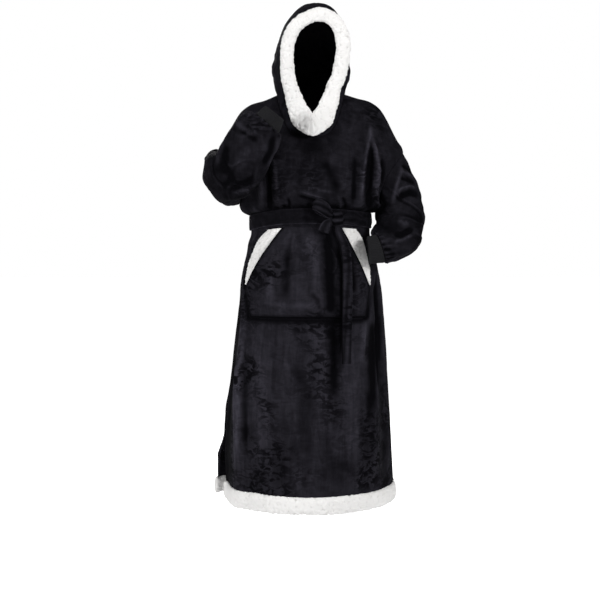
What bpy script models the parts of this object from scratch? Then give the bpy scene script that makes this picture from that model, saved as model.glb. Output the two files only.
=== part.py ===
"""Long wearable blanket hoodie with its tie belt, in the hollow form that it keeps when it is worn.

Metres, +Z up. The front faces -Y and the wearer's left side is +X. The origin is on the shoulder line,
at the middle of the neck. One arm is bent up to the hood (-X), the other down to the pocket (+X).
"""

from types import SimpleNamespace

import bpy
import numpy as np

# Driving dimensions of the cloth
CLOTH = 0.004              # fleece shell, one layer with its backing
SEAM_GAP = 0.0003          # air between two pieces that are sewn to each other
CUFF_CLOTH = 0.0035
BELT_WIDTH = 0.045
BELT_THICK = 0.0055

# Colours: (red, green, blue), roughness
BLACK_FLEECE = ((0.010, 0.010, 0.013), 0.85)
BLACK_RIB = ((0.016, 0.016, 0.017), 0.95)
WHITE_SHERPA = ((0.83, 0.82, 0.80), 0.95)

# Numbers of faces along each direction
FRONT_COLUMNS = 26
BACK_COLUMNS = 18
ARMHOLE_STEPS = 8
HOOD_STEPS = 7

for old in list(bpy.data.objects):
    bpy.data.objects.remove(old, do_unlink=True)


# Curves and grids

def glide(knots, values, at):
    """A smooth curve through the rows of a table: cubic pieces whose slope at a row is the harmonic mean
    of the slopes on its two sides, so that nothing overshoots."""
    knots = np.asarray(knots, float)
    values = np.asarray(values, float).reshape(len(knots), -1)
    at = np.clip(np.asarray(at, float), knots[0], knots[-1])
    gap = np.diff(knots)[:, None]
    rise = np.diff(values, axis=0) / gap
    before, after = rise[:-1], rise[1:]
    total = np.where(np.abs(before + after) < 1e-12, 1.0, before + after)
    slope = np.concatenate([rise[:1], np.where(before * after > 0, 2 * before * after / total, 0), rise[-1:]])
    i = np.clip(np.searchsorted(knots, at, side="right") - 1, 0, len(gap) - 1)
    h = gap[i]
    t = ((at - knots[i]) / gap[i, 0])[..., None]
    out = (
        values[i] * (1 + 2 * t) * (1 - t) ** 2
        + values[i + 1] * t * t * (3 - 2 * t)
        + slope[i] * h * t * (1 - t) ** 2
        - slope[i + 1] * h * t * t * (1 - t)
    )
    return out if out.shape[-1] > 1 else out[..., 0]


def unit(vectors):
    """The vectors, each made one long."""
    return vectors / np.maximum(np.linalg.norm(vectors, axis=-1, keepdims=True), 1e-12)


def bump(distance, half_width):
    """A smooth hump: 1 at distance 0, and 0 from half_width on."""
    t = np.clip(1 - np.abs(distance) / half_width, 0, 1)
    return t * t * (3 - 2 * t)


def between(at, low, high, fade):
    """1 between low and high, and fading to 0 over fade outside them."""
    rise = np.clip((at - low) / fade + 1, 0, 1)
    fall = np.clip((high - at) / fade + 1, 0, 1)
    return rise * rise * (3 - 2 * rise) * fall * fall * (3 - 2 * fall)


def skin_normals(skin, u, v, step):
    """Outward normals of a surface function of two parameters, from its slopes at (u, v)."""
    along_u = skin(u + step[0], v) - skin(u - step[0], v)
    along_v = skin(u, v + step[1]) - skin(u, v - step[1])
    return unit(np.cross(along_u, along_v))


def grid_normals(points, closed):
    """Normals of a point grid; a closed one runs round in its second direction."""
    down = np.gradient(points, axis=0)
    if closed:
        across = np.roll(points, -1, axis=1) - np.roll(points, 1, axis=1)
    else:
        across = np.gradient(points, axis=1)
    return unit(np.cross(down, across))


# Solids

def material(name, finish):
    """A plain Principled material of a colour and roughness."""
    made = bpy.data.materials.get(name)
    if made is None:
        made = bpy.data.materials.new(name)
        made.use_nodes = True
        shader = made.node_tree.nodes["Principled BSDF"]
        shader.inputs["Base Color"].default_value = (*finish[0], 1)
        shader.inputs["Roughness"].default_value = finish[1]
        shader.inputs["Metallic"].default_value = 0.0
    return made


def solid(name, points, faces, made_of):
    """A named object from points and faces, turned so that its faces point out."""
    points = np.asarray(points, float).reshape(-1, 3)
    volume = 0.0
    for face in faces:
        corner = points[list(face)]
        for k in range(1, len(face) - 1):
            volume += np.dot(corner[0], np.cross(corner[k], corner[k + 1]))
    if volume < 0:
        faces = [tuple(reversed(face)) for face in faces]
    mesh = bpy.data.meshes.new(name)
    mesh.from_pydata(points.tolist(), [], faces)
    mesh.update()
    mesh.shade_smooth()
    mesh.materials.append(made_of)
    made = bpy.data.objects.new(name, mesh)
    bpy.context.scene.collection.objects.link(made)
    return made


def wall(name, outer, inner, made_of, closed=False):
    """A cloth wall between an outer and an inner point grid. A closed one runs round in its second direction.
    Each cell is split along its shorter diagonal, in the same way on both sides of the cloth."""
    rows, columns = outer.shape[:2]
    size = rows * columns
    flat = outer.reshape(-1, 3)
    faces = []
    for i in range(rows - 1):
        for j in range(columns if closed else columns - 1):
            k = (j + 1) % columns
            a, b, c, d = i * columns + j, i * columns + k, (i + 1) * columns + k, (i + 1) * columns + j
            if np.linalg.norm(flat[a] - flat[c]) < np.linalg.norm(flat[b] - flat[d]):
                halves = ((a, b, c), (a, c, d))
            else:
                halves = ((a, b, d), (b, c, d))
            for half in halves:
                faces += [half, tuple(size + corner for corner in reversed(half))]
    for j in range(columns if closed else columns - 1):
        k = (j + 1) % columns
        last = (rows - 1) * columns
        faces += [(k, j, size + j, size + k), (last + j, last + k, size + last + k, size + last + j)]
    if not closed:
        for i in range(rows - 1):
            a, b = i * columns, (i + 1) * columns
            faces += [(a, b, size + b, size + a)]
            a, b = a + columns - 1, b + columns - 1
            faces += [(b, a, size + a, size + b)]
    return solid(name, np.concatenate([outer.reshape(-1, 3), inner.reshape(-1, 3)]), faces, made_of)


def roll(name, rings, made_of, closed=False):
    """A full solid through rings of points: each ring joins the next, and an open roll has flat ends."""
    count, around = rings.shape[:2]
    faces = []
    for i in range(count if closed else count - 1):
        for j in range(around):
            k = (j + 1) % around
            n = (i + 1) % count
            faces.append((i * around + j, i * around + k, n * around + k, n * around + j))
    if not closed:
        faces.append(tuple(range(around))[::-1])
        faces.append(tuple((count - 1) * around + j for j in range(around)))
    return solid(name, rings, faces, made_of)


def pillow_section(corners, half_a, half_b, power):
    """Points round a flattened oval, as (a, b) pairs: a superellipse of the two half sizes."""
    turn = np.linspace(0, 2 * np.pi, corners, endpoint=False)
    c, s = np.cos(turn), np.sin(turn)
    return half_a * np.sign(c) * np.abs(c) ** (2 / power), half_b * np.sign(s) * np.abs(s) ** (2 / power)


# The body: one tube from the neck seam to the hem, cut into a front and a back panel.
# A row is a ring round the garment. Its heights are given at the middle of the front and back and at the
# two sides, its reach at the same four places, and y_seam is where the side seams lie. scoop is how late
# the height climbs from the middle to the sides, and square is the ring's superellipse power.

BODY_COLUMNS = ("row", "z_front", "z_back", "z_left", "z_right", "x_left", "x_right", "y_front", "y_back",
                "y_seam", "scoop", "square")
BODY_ROWS = (
    (0, -0.118, 0.020, 0.012, 0.015, -0.098, 0.100, -0.150, 0.078, 0.000, 4.0, 2.0),     # neck seam
    (1, -0.132, 0.004, -0.004, 0.003, -0.135, 0.137, -0.157, 0.098, 0.000, 4.0, 2.0),
    (2, -0.152, -0.018, -0.014, -0.006, -0.170, 0.172, -0.162, 0.115, 0.000, 4.0, 2.1),
    (3, -0.166, -0.045, -0.036, -0.028, -0.203, 0.205, -0.166, 0.130, 0.000, 3.5, 2.15),  # shoulder
    (4, -0.182, -0.075, -0.080, -0.075, -0.232, 0.233, -0.169, 0.140, 0.002, 3.0, 2.2),
    (5, -0.200, -0.110, -0.115, -0.118, -0.254, 0.255, -0.171, 0.147, 0.004, 2.6, 2.2),
    (6, -0.218, -0.145, -0.150, -0.160, -0.270, 0.276, -0.172, 0.152, 0.005, 2.2, 2.2),   # armhole's top
    (7, -0.260, -0.225, -0.230, -0.240, -0.248, 0.254, -0.171, 0.156, 0.005, 2.0, 2.2),
    (8, -0.293, -0.293, -0.308, -0.312, -0.205, 0.209, -0.165, 0.150, 0.005, 2.0, 2.2),   # underarm
    (9, -0.313, -0.320, -0.330, -0.328, -0.189, 0.192, -0.155, 0.141, 0.004, 2.0, 2.2),   # fullness over the belt
    (10, -0.326, -0.336, -0.344, -0.338, -0.175, 0.177, -0.140, 0.130, 0.000, 2.0, 2.2),  # belt's top
    (11, -0.376, -0.386, -0.394, -0.388, -0.175, 0.177, -0.140, 0.130, 0.000, 2.0, 2.2),  # belt's foot
    (12, -0.430, -0.435, -0.438, -0.436, -0.184, 0.187, -0.152, 0.147, 0.000, 2.0, 2.2),
    (13, -0.520, -0.520, -0.520, -0.520, -0.203, 0.205, -0.164, 0.168, 0.005, 2.0, 2.2),
    (14, -0.610, -0.610, -0.610, -0.610, -0.214, 0.215, -0.172, 0.188, 0.015, 2.0, 2.2),
    (15, -0.774, -0.774, -0.774, -0.774, -0.235, 0.230, -0.183, 0.224, 0.045, 2.0, 2.1),
    (16, -0.946, -0.946, -0.946, -0.946, -0.254, 0.243, -0.192, 0.255, 0.080, 2.0, 2.1),
    (17, -1.080, -1.080, -1.080, -1.080, -0.262, 0.252, -0.198, 0.277, 0.105, 2.0, 2.05),
    (18, -1.152, -1.152, -1.152, -1.152, -0.264, 0.257, -0.201, 0.288, 0.120, 2.0, 2.0),  # hem seam
)
ARMHOLE_TOP, ARMHOLE_FOOT = 6.0, 8.0
ARMHOLE_HALF_ANGLE = 33.0      # degrees round the ring, from the side to the armhole's edge
BELT_TOP_ROW, BELT_FOOT_ROW = 10.0, 11.0
VENT_TOP_ROW, HEM_ROW = 14.9, 18.0
VENT_HALF_OPEN = 7.0           # degrees that each panel's edge draws back at the hem

# Large soft folds. Each runs down the cloth from one row to another at a bearing in degrees: 0 is the
# middle of the front, 90 the wearer's left side, -90 the right side and 180 the middle of the back.
FOLD_COLUMNS = ("bearing_top", "bearing_foot", "row_top", "row_foot", "half_width", "rise")
FOLDS = (
    (44, 43, 3.6, 9.0, 10, 0.010),     # long fold from the left shoulder to the belt
    (-46, -42, 5.5, 9.0, 11, -0.006),  # hollow beside the raised arm
    (-26, -24, 6.5, 9.0, 9, 0.004),
    (-58, -52, 14.7, 18, 13, 0.009),   # edge where the skirt turns to its right side
    (-82, -76, 13.5, 18, 15, -0.010),
    (12, 11, 14.7, 16.4, 11, -0.006),
    (50, 46, 14.7, 16.8, 11, 0.008),
    (68, 65, 13.0, 17.2, 13, -0.009),
    (-102, -103, 15.4, 18, 19, 0.009),  # back panel's edge, standing out beside the vent
    (-102, -103, 16.4, 18, 19, 0.020),
    (180, 178, 4.5, 9.0, 14, 0.008),   # back
    (150, 146, 4.6, 9.0, 12, -0.008),
    (-148, -143, 4.6, 9.0, 12, -0.008),
    (168, 160, 11.5, 18, 13, -0.012),
    (-166, -158, 11.5, 18, 13, 0.012),
    (142, 134, 12.0, 18, 13, 0.013),
    (-138, -132, 12.0, 18, 13, -0.013),
    (118, 112, 12.5, 18, 13, -0.011),
)
GATHERS = 11                   # small waves round the belt
GATHER_RISE = 0.0030
POCKET_BEARING = 62            # the waves below the belt stay clear of the pocket


def body_ring(row):
    """Every column of the body's table at a row, which need not be a whole number."""
    knots = [r[0] for r in BODY_ROWS]
    read = glide(knots, [r[1:] for r in BODY_ROWS], row)
    return SimpleNamespace(**{name: read[..., k] for k, name in enumerate(BODY_COLUMNS[1:])})


def plain_body(row, bearing):
    """The body without folds: a superellipse ring, whose height climbs from the middle to the sides as
    |sin bearing| to the power of scoop."""
    ring = body_ring(row)
    s, c = np.sin(np.radians(bearing)), np.cos(np.radians(bearing))
    wide = np.where(s < 0, -ring.x_left, ring.x_right)
    deep = np.where(c > 0, ring.y_seam - ring.y_front, ring.y_back - ring.y_seam)
    power = 2 / ring.square
    x = np.sign(s) * np.abs(s) ** power * wide
    y = ring.y_seam - np.sign(c) * np.abs(c) ** power * deep
    climb = np.abs(s) ** ring.scoop
    z = np.where(s < 0, ring.z_left, ring.z_right) * climb + np.where(c > 0, ring.z_front, ring.z_back) * (1 - climb)
    return np.stack([x, y, z], axis=-1)


def fold_rise(row, bearing):
    """How far the folds and the gathers lift the body's skin off its plain ring."""
    rise = np.zeros(np.broadcast(row, bearing).shape)
    for top, foot, row_top, row_foot, half_width, height in FOLDS:
        share = np.clip((row - row_top) / (row_foot - row_top), 0, 1)
        aside = (bearing - (top + (foot - top) * share) + 180) % 360 - 180
        rise = rise + height * bump(aside, half_width) * between(row, row_top + 0.6, row_foot, 0.6)
    off_front = np.clip((np.abs((bearing + 180) % 360 - 180) - POCKET_BEARING) / 15, 0, 1)
    off_belt = bump(row - 9.3, 0.7) + bump(row - 11.7, 0.7) * off_front
    rise = rise + GATHER_RISE * off_belt * np.sin(np.radians(bearing) * GATHERS)
    at_neck = np.clip(row / 1.5, 0, 1)
    return rise * at_neck


def body_skin(row, bearing):
    """The body's outer skin with its folds, lifted along the horizontal way out from the ring."""
    row, bearing = np.broadcast_arrays(np.asarray(row, float), np.asarray(bearing, float))
    here = plain_body(row, bearing)
    side = plain_body(row, bearing + 0.5) - plain_body(row, bearing - 0.5)
    way_out = unit(np.stack([side[..., 1], -side[..., 0], np.zeros_like(side[..., 0])], axis=-1))
    return here + way_out * fold_rise(row, bearing)[..., None]


def body_normals(row, bearing):
    """Outward normals of the body's skin. At the first and last row the slope is read just inside."""
    row, bearing = np.broadcast_arrays(np.asarray(row, float), np.asarray(bearing, float))
    inside = np.clip(row, 0.06, HEM_ROW - 0.06)
    return skin_normals(body_skin, inside, bearing, (0.05, 0.6))


def armhole_angle(row):
    """Degrees from the side to the armhole's edge at a row: a half circle over the armhole's rows."""
    middle, half = (ARMHOLE_TOP + ARMHOLE_FOOT) / 2, (ARMHOLE_FOOT - ARMHOLE_TOP) / 2
    return ARMHOLE_HALF_ANGLE * np.sqrt(np.clip(1 - ((row - middle) / half) ** 2, 0, 1))


def vent_angle(row):
    """Degrees that a panel's edge draws back from the side in the open vent below the skirt's side seam."""
    share = np.clip((row - VENT_TOP_ROW) / (HEM_ROW - VENT_TOP_ROW), 0, 1)
    return VENT_HALF_OPEN * share ** 1.5


def seam_angle(row):
    """Half the seam's gap, in degrees round the ring."""
    ring = body_ring(row)
    return np.degrees(SEAM_GAP * 0.7 / (0.5 * (ring.x_right - ring.x_left)))


ARMHOLE_ROWS = 7 - np.cos(np.linspace(0, np.pi, ARMHOLE_STEPS + 1))
PANEL_ROWS = np.concatenate([
    [0, 0.5, 1.2, 2, 3, 4, 5],
    ARMHOLE_ROWS,
    [8.5, 9.0, 9.5, 10.0, 11.0, 11.5, 12.2, 13.0, 13.8, 14.6, 15.3, 16.0, 16.7, 17.4, HEM_ROW],
])


def panel_bearings(middle, columns):
    """The bearings of a panel's columns, for every one of its rows."""
    row = PANEL_ROWS[:, None]
    half = 90 - armhole_angle(row) - vent_angle(row) - seam_angle(row)
    return middle + half * np.linspace(-1, 1, columns + 1)[None, :]


def panel(name, middle, columns):
    """A body panel between the shoulder, armhole and side seams. middle is the bearing it is centred on."""
    row = PANEL_ROWS[:, None]
    bearing = panel_bearings(middle, columns)
    outer = body_skin(row, bearing)
    inner = outer - CLOTH * body_normals(row, bearing)
    wall(name, outer, inner, FLEECE)
    return outer


FLEECE = material("black_fleece", BLACK_FLEECE)
RIB = material("black_rib", BLACK_RIB)
SHERPA = material("white_sherpa", WHITE_SHERPA)

FRONT_POINTS = panel("front_panel", 0.0, FRONT_COLUMNS)
panel("back_panel", 180.0, BACK_COLUMNS)


# Sleeves: a tube from the armhole, round the bent elbow, to a gathered end at the cuff. Each station is a
# ring, given by its top and foot points, by how far it reaches to its side, by the bearing in plan of that
# side (0 is +X, 90 is +Y) and by the height of the gathers' waves. The armhole itself is the first ring.

SLEEVE_COLUMNS = ("top_x", "top_y", "top_z", "foot_x", "foot_y", "foot_z", "reach", "side", "wave")
RAISED_SLEEVE = (              # wearer's right arm, bent up to the hood
    (-0.281, -0.036, -0.151, -0.232, -0.042, -0.316, 0.079, 118, 0.0),
    (-0.282, -0.082, -0.156, -0.246, -0.088, -0.311, 0.055, 148, 0.0),
    (-0.276, -0.125, -0.164, -0.250, -0.131, -0.306, 0.044, 180, 0.0),
    (-0.271, -0.160, -0.170, -0.234, -0.168, -0.306, 0.046, 210, 0.001),
    (-0.265, -0.188, -0.176, -0.194, -0.196, -0.300, 0.052, 240, 0.002),
    (-0.250, -0.206, -0.149, -0.134, -0.208, -0.244, 0.059, 258, 0.002),
    (-0.222, -0.222, -0.108, -0.103, -0.224, -0.184, 0.062, 264, 0.003),
    (-0.196, -0.235, -0.074, -0.083, -0.237, -0.142, 0.063, 268, 0.004),
    (-0.174, -0.243, -0.062, -0.083, -0.244, -0.127, 0.053, 270, 0.004),
    (-0.1535, -0.2480, -0.0655, -0.0900, -0.2480, -0.1180, 0.0425, 270, 0.001),
)
RAISED_CUFF = (
    (-0.1533, -0.2480, -0.0652, -0.0898, -0.2480, -0.1177, 0.0415, 270, 0.0),
    (-0.1440, -0.2440, -0.0560, -0.0835, -0.2440, -0.1050, 0.0390, 270, 0.0),
    (-0.1355, -0.2395, -0.0480, -0.0790, -0.2395, -0.0925, 0.0365, 270, 0.0),
    (-0.1270, -0.2350, -0.0405, -0.0750, -0.2350, -0.0800, 0.0345, 270, 0.0),
)
LOWERED_SLEEVE = (             # wearer's left arm, bent down to the pocket
    (0.296, -0.002, -0.202, 0.207, -0.010, -0.338, 0.088, -90, 0.0),
    (0.315, -0.014, -0.248, 0.206, -0.024, -0.351, 0.078, -88, 0.0),
    (0.328, -0.034, -0.292, 0.206, -0.042, -0.363, 0.070, -84, 0.001),
    (0.332, -0.054, -0.334, 0.205, -0.062, -0.373, 0.065, -78, 0.001),
    (0.327, -0.074, -0.378, 0.203, -0.082, -0.380, 0.062, -70, 0.002),
    (0.317, -0.094, -0.420, 0.201, -0.100, -0.386, 0.060, -64, 0.002),
    (0.298, -0.112, -0.450, 0.198, -0.114, -0.391, 0.058, -62, 0.003),
    (0.266, -0.126, -0.467, 0.195, -0.126, -0.394, 0.055, -66, 0.004),
    (0.236, -0.135, -0.477, 0.192, -0.134, -0.396, 0.050, -74, 0.004),
    (0.2130, -0.1400, -0.4815, 0.1890, -0.1400, -0.4000, 0.0425, -84, 0.001),
)
LOWERED_CUFF = (
    (0.2120, -0.1405, -0.4813, 0.1878, -0.1405, -0.4002, 0.0412, -84, 0.0),
    (0.1970, -0.1412, -0.4818, 0.1790, -0.1412, -0.4025, 0.0405, -86, 0.0),
    (0.1820, -0.1420, -0.4828, 0.1700, -0.1420, -0.4045, 0.0398, -88, 0.0),
    (0.1670, -0.1430, -0.4840, 0.1620, -0.1430, -0.4060, 0.0393, -90, 0.0),
)
SLEEVE_WAVES = 5
CUFF_STEPS = 3
ARMHOLE_BLEND = 2.5            # stations over which the armhole's outline turns into a plain oval


def armhole_edge(side):
    """The armhole's outline as the body has it: outer points and normals, from the top down the front
    edge and up the back edge. side is 1 for the wearer's left and -1 for the right."""
    down, up = ARMHOLE_ROWS[:-1], ARMHOLE_ROWS[:0:-1]
    row = np.concatenate([down, up])
    offset = np.concatenate([armhole_angle(down), -armhole_angle(up)])
    bearing = side * (90 - offset)
    return body_skin(row, bearing), body_normals(row, bearing)


def rings_through(stations, at, side, waves):
    """Rings of a tube that glides through the stations: middle + cos(turn) * half the way from foot to top
    + sin(turn) * reach * side's way, with waves. Returns the rings and their middles."""
    read = glide(np.arange(len(stations)), stations, at)
    top, foot, reach, bearing, wave = read[:, 0:3], read[:, 3:6], read[:, 6], np.radians(read[:, 7]), read[:, 8]
    middle, half = (top + foot) / 2, (top - foot) / 2
    sideways = np.stack([np.cos(bearing), np.sin(bearing), 0 * bearing], axis=-1)
    turn = np.linspace(0, 2 * np.pi, 2 * ARMHOLE_STEPS, endpoint=False)[None, :, None]
    swell = 1 + (wave / reach)[:, None, None] * np.cos(waves * turn + 0.8)
    reach_way = (sideways * reach[:, None])[:, None, :] * side
    rings = middle[:, None, :] + swell * (np.cos(turn) * half[:, None, :] + np.sin(turn) * reach_way)
    return rings, middle


def outward(points, middles):
    """Normals of a closed grid of rings, turned to point away from the rings' middles."""
    normals = grid_normals(points, closed=True)
    facing = np.sum(normals * (points - middles[:, None, :]))
    return normals if facing > 0 else -normals


def sleeve(name, stations, side):
    """A sleeve whose first ring is the armhole's edge, moved off by the seam's gap. What sets the edge apart
    from a plain oval fades out along the tube. Where the sleeve folds back under the armhole, its wall
    keeps its own side of the crease."""
    edge, edge_normals = armhole_edge(side)
    reach = 0.5 * np.linalg.norm(edge[ARMHOLE_STEPS // 2] - edge[-(ARMHOLE_STEPS // 2)])
    first = (*edge[0], *edge[ARMHOLE_STEPS], reach, 90.0 if side < 0 else -90.0, 0.0)
    at = np.concatenate([[0, 0.5], np.arange(1, 9), [8.5, 9, 9.5, 10]])
    points, middles = rings_through((first, *stations), at, side, SLEEVE_WAVES)
    keep = np.clip(1 - at / ARMHOLE_BLEND, 0, 1) ** 1.5
    points += keep[:, None, None] * (edge - points[0])
    normals = outward(points, middles)
    smooth = np.clip((np.sum(normals[0] * edge_normals, axis=-1) + 0.2) / 0.7, 0, 1)[:, None]
    normals[0] = unit(smooth * edge_normals + (1 - smooth) * normals[0])
    around = unit(np.roll(edge, -1, axis=0) - np.roll(edge, 1, axis=0))
    into_hole = np.cross(edge_normals, around)
    into_hole *= np.sign(np.sum(into_hole * (edge.mean(axis=0) - edge), axis=-1, keepdims=True))
    points[0] += SEAM_GAP * (smooth * into_hole + (1 - smooth) * edge_normals)
    return wall(name, points, points - CLOTH * normals, FLEECE, closed=True)


def cuff(name, stations, side):
    """A rib-knit tube that the sleeve's end is gathered on to."""
    at = np.linspace(0, len(stations) - 1, CUFF_STEPS + 1)
    points, middles = rings_through(stations, at, side, 0)
    return wall(name, points, points - CUFF_CLOTH * outward(points, middles), RIB, closed=True)


sleeve("sleeve_raised", RAISED_SLEEVE, -1)
cuff("cuff_raised", RAISED_CUFF, -1)
sleeve("sleeve_lowered", LOWERED_SLEEVE, 1)
cuff("cuff_lowered", LOWERED_CUFF, 1)


# Hood: two halves that meet in a seam from the forehead over the crown to the nape, and at the point of
# the neckline. Each line of the table runs back from the face edge to the neck seam as a curve with four
# control points: the edge, the brow, the nape and the neck seam at that bearing.

HOOD_COLUMNS = ("share", "edge_half", "edge_y", "edge_z", "brow_half", "brow_y", "brow_z",
                "nape_out", "nape_up", "shift", "bearing")
HOOD_LINES = (
    (0.00, 0.000, -0.100, 0.2430, 0.000, -0.015, 0.347, 0.090, 0.190, 0.026, 180),  # forehead to nape
    (0.06, 0.022, -0.100, 0.2415, 0.027, -0.015, 0.342, 0.089, 0.186, 0.025, 174),
    (0.15, 0.050, -0.101, 0.2300, 0.062, -0.015, 0.312, 0.085, 0.170, 0.022, 165),
    (0.30, 0.083, -0.104, 0.186, 0.102, -0.010, 0.230, 0.072, 0.140, 0.016, 148),   # temple
    (0.45, 0.093, -0.106, 0.130, 0.112, -0.010, 0.150, 0.048, 0.095, 0.012, 122),
    (0.60, 0.086, -0.106, 0.066, 0.103, -0.035, 0.080, 0.022, 0.055, 0.009, 93),    # jaw
    (0.75, 0.066, -0.110, 0.004, 0.083, -0.080, 0.008, 0.010, 0.028, 0.005, 66),
    (0.90, 0.034, -0.130, -0.060, 0.046, -0.128, -0.064, 0.003, 0.012, 0.0055, 36),
    (1.00, 0.000, -0.150, -0.092, 0.000, -0.152, -0.098, 0.000, 0.004, 0.0055, 0),  # point of the neckline
)
TRIM_HALF_WIDTH, TRIM_HALF_DEPTH = 0.022, 0.011
TRIM_INSET = 0.010             # the trim's middle lies this far inside the hood's edge, seen from the front
TRIM_FORWARD = 0.0125
TRIM_POWER = 3.0
TRIM_CORNERS = 10


def hood_share(bearing):
    """Where a neck-seam bearing lies on the hood: 0 at the nape, 1 at the point of the neckline."""
    lines = sorted((line[-1], line[0]) for line in HOOD_LINES)
    return np.interp(np.abs(bearing), [b for b, _ in lines], [s for _, s in lines])


def hood_controls(bearing):
    """The hood's four control points for the line that ends on the neck seam at a bearing: the face edge,
    the brow, a point above and outside the seam, and the seam. shift turns the face to the wearer's left."""
    bearing = np.asarray(bearing, float)
    side = np.where(bearing < 0, -1.0, 1.0)
    read = glide([line[0] for line in HOOD_LINES], [line[1:-1] for line in HOOD_LINES], hood_share(bearing))
    shift = read[..., 8]
    edge = np.stack([side * read[..., 0] + shift, read[..., 1], read[..., 2]], axis=-1)
    brow = np.stack([side * read[..., 3] + shift * 0.4, read[..., 4], read[..., 5]], axis=-1)
    seam = body_skin(0.0, bearing)
    s, c = np.sin(np.radians(bearing)), np.cos(np.radians(bearing))
    nape = seam + np.stack([s * read[..., 6], -c * read[..., 6], read[..., 7]], axis=-1)
    return edge, brow, nape, seam


def hood_skin(step, bearing):
    """The hood's outer skin: a cubic Bezier curve over the line's control points, from the face edge at
    step 0 to the neck seam at step 1."""
    edge, brow, nape, seam = hood_controls(bearing)
    t = np.asarray(step, float)[..., None]
    return (1 - t) ** 3 * edge + 3 * t * (1 - t) ** 2 * brow + 3 * t * t * (1 - t) * nape + t ** 3 * seam


HALF_BEARINGS = np.concatenate([
    np.linspace(0, 90, FRONT_COLUMNS // 2 + 1),
    np.linspace(90, 180, BACK_COLUMNS // 2 + 1)[1:],
])


def hood_half(name, side):
    """One side of the hood. Its foot lies on the body's neck seam, point for point."""
    step = np.linspace(0, 1, HOOD_STEPS + 1)[:, None]
    bearing = side * HALF_BEARINGS[None, :]
    outer = hood_skin(step, bearing)
    normals = grid_normals(outer, closed=False)
    centre = np.array([0.0, 0.0, 0.10])
    if np.sum(normals * (outer - centre)) < 0:
        normals = -normals
    for column in (0, -1):      # both halves share the normals of the centre seam
        along = np.gradient(outer[:, column], axis=0)
        across = unit(np.stack([0 * along[:, 0], -along[:, 2], along[:, 1]], axis=-1))
        normals[:, column] = across * np.sign(np.sum(across * (outer[:, column] - centre)))
    neck = body_normals(0.0, bearing[0])
    up = unit(body_skin(0.0, bearing[0]) - body_skin(0.12, bearing[0]))
    outer[-1] = body_skin(0.0, bearing[0]) + up * SEAM_GAP
    normals[-1] = neck
    inner = outer - CLOTH * normals
    for grid in (outer, inner):
        grid[:, 0, 0] += side * SEAM_GAP * 0.7
        grid[:, -1, 0] += side * SEAM_GAP * 0.7
    return wall(name, outer, inner, FLEECE)


hood_half("hood_right", -1)
hood_half("hood_left", 1)


# Sherpa trim round the face: one flat roll, closed in a mitre at the neckline's point and in a butt seam
# over the forehead.

TRIM_BEARINGS = np.concatenate([[20, 32], np.arange(44, 91, 9), [100, 112, 124, 136, 147, 157, 166, 173]])
TRIM_FOOT_Z = -0.1150          # the trim's foot is rounded off at this height


def trim_ring(bearing):
    """The trim's section at a bearing: a superellipse laid along the way out from the opening."""
    ahead = hood_controls(bearing + 0.5)[0] - hood_controls(bearing - 0.5)[0]
    along = unit(ahead)
    forward = np.array([0.0, -1.0, 0.0])
    out = unit(np.cross(along, forward))
    edge = hood_controls(bearing)[0]
    if np.dot(out, edge - np.array([0.012, -0.11, 0.08])) < 0:
        out = -out
    forward = unit(forward - along * np.dot(forward, along))
    a, b = pillow_section(TRIM_CORNERS, TRIM_HALF_WIDTH, TRIM_HALF_DEPTH, TRIM_POWER)
    return edge - out * TRIM_INSET + forward * TRIM_FORWARD + np.outer(a, out) + np.outer(b, forward)


def trim_on_middle(last, before, plane):
    """A ring carried on, along the way from the one before it, to an upright plane across the width."""
    way = (last - before).mean(axis=0)
    return last + (plane - last[:, :1]) / way[0] * way


def hood_trim():
    """The face trim as one closed roll, whose rings at the forehead and at the point lie on the middle."""
    left = [trim_ring(b) for b in TRIM_BEARINGS.astype(float)]
    right = [trim_ring(-b) for b in TRIM_BEARINGS.astype(float)]
    point = np.mean([trim_on_middle(half[0], half[1], HOOD_LINES[-1][9]) for half in (left, right)], axis=0)
    brow = np.mean([trim_on_middle(half[-1], half[-2], HOOD_LINES[0][9]) for half in (left, right)], axis=0)
    rings = np.array([point, *left, brow, *right[::-1]])
    low = rings[:, :, 2] < TRIM_FOOT_Z
    rings[:, :, 2][low] = TRIM_FOOT_Z + 0.12 * (rings[:, :, 2][low] - TRIM_FOOT_Z)
    return roll("hood_trim", rings, SHERPA, closed=True)


hood_trim()


# Sherpa hem: a thick folded band below each panel, as long as the panel's hem.

HEM_HALF_HEIGHT, HEM_HALF_THICK = 0.0250, 0.0080
HEM_OUT = 0.0005               # the band's middle lies this far outside the panel's skin
HEM_CORNERS = 8


def hem_band(name, middle, columns):
    """The hem's band, a superellipse section carried along the panel's foot."""
    half = 90 - vent_angle(HEM_ROW) - seam_angle(HEM_ROW)
    bearing = middle + half * np.linspace(-1, 1, columns + 1)
    foot = body_skin(HEM_ROW, bearing)
    out = body_normals(HEM_ROW, bearing) * np.array([1.0, 1.0, 0.0])
    out = unit(out)
    up = np.array([0.0, 0.0, 1.0])
    a, b = pillow_section(HEM_CORNERS, HEM_HALF_HEIGHT, HEM_HALF_THICK, 3.0)
    centre = foot + out * HEM_OUT - up * (HEM_HALF_HEIGHT + SEAM_GAP)
    rings = centre[:, None, :] + a[None, :, None] * up + b[None, :, None] * out[:, None, :]
    return roll(name, rings, SHERPA)


hem_band("hem_trim_front", 0.0, FRONT_COLUMNS)
hem_band("hem_trim_back", 180.0, BACK_COLUMNS)


# Kangaroo pocket: a six-sided patch, sewn down along its top, foot and lower sides, and standing open
# along its two slanted edges. Widths are measured across the front, heights down from the origin.

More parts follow.
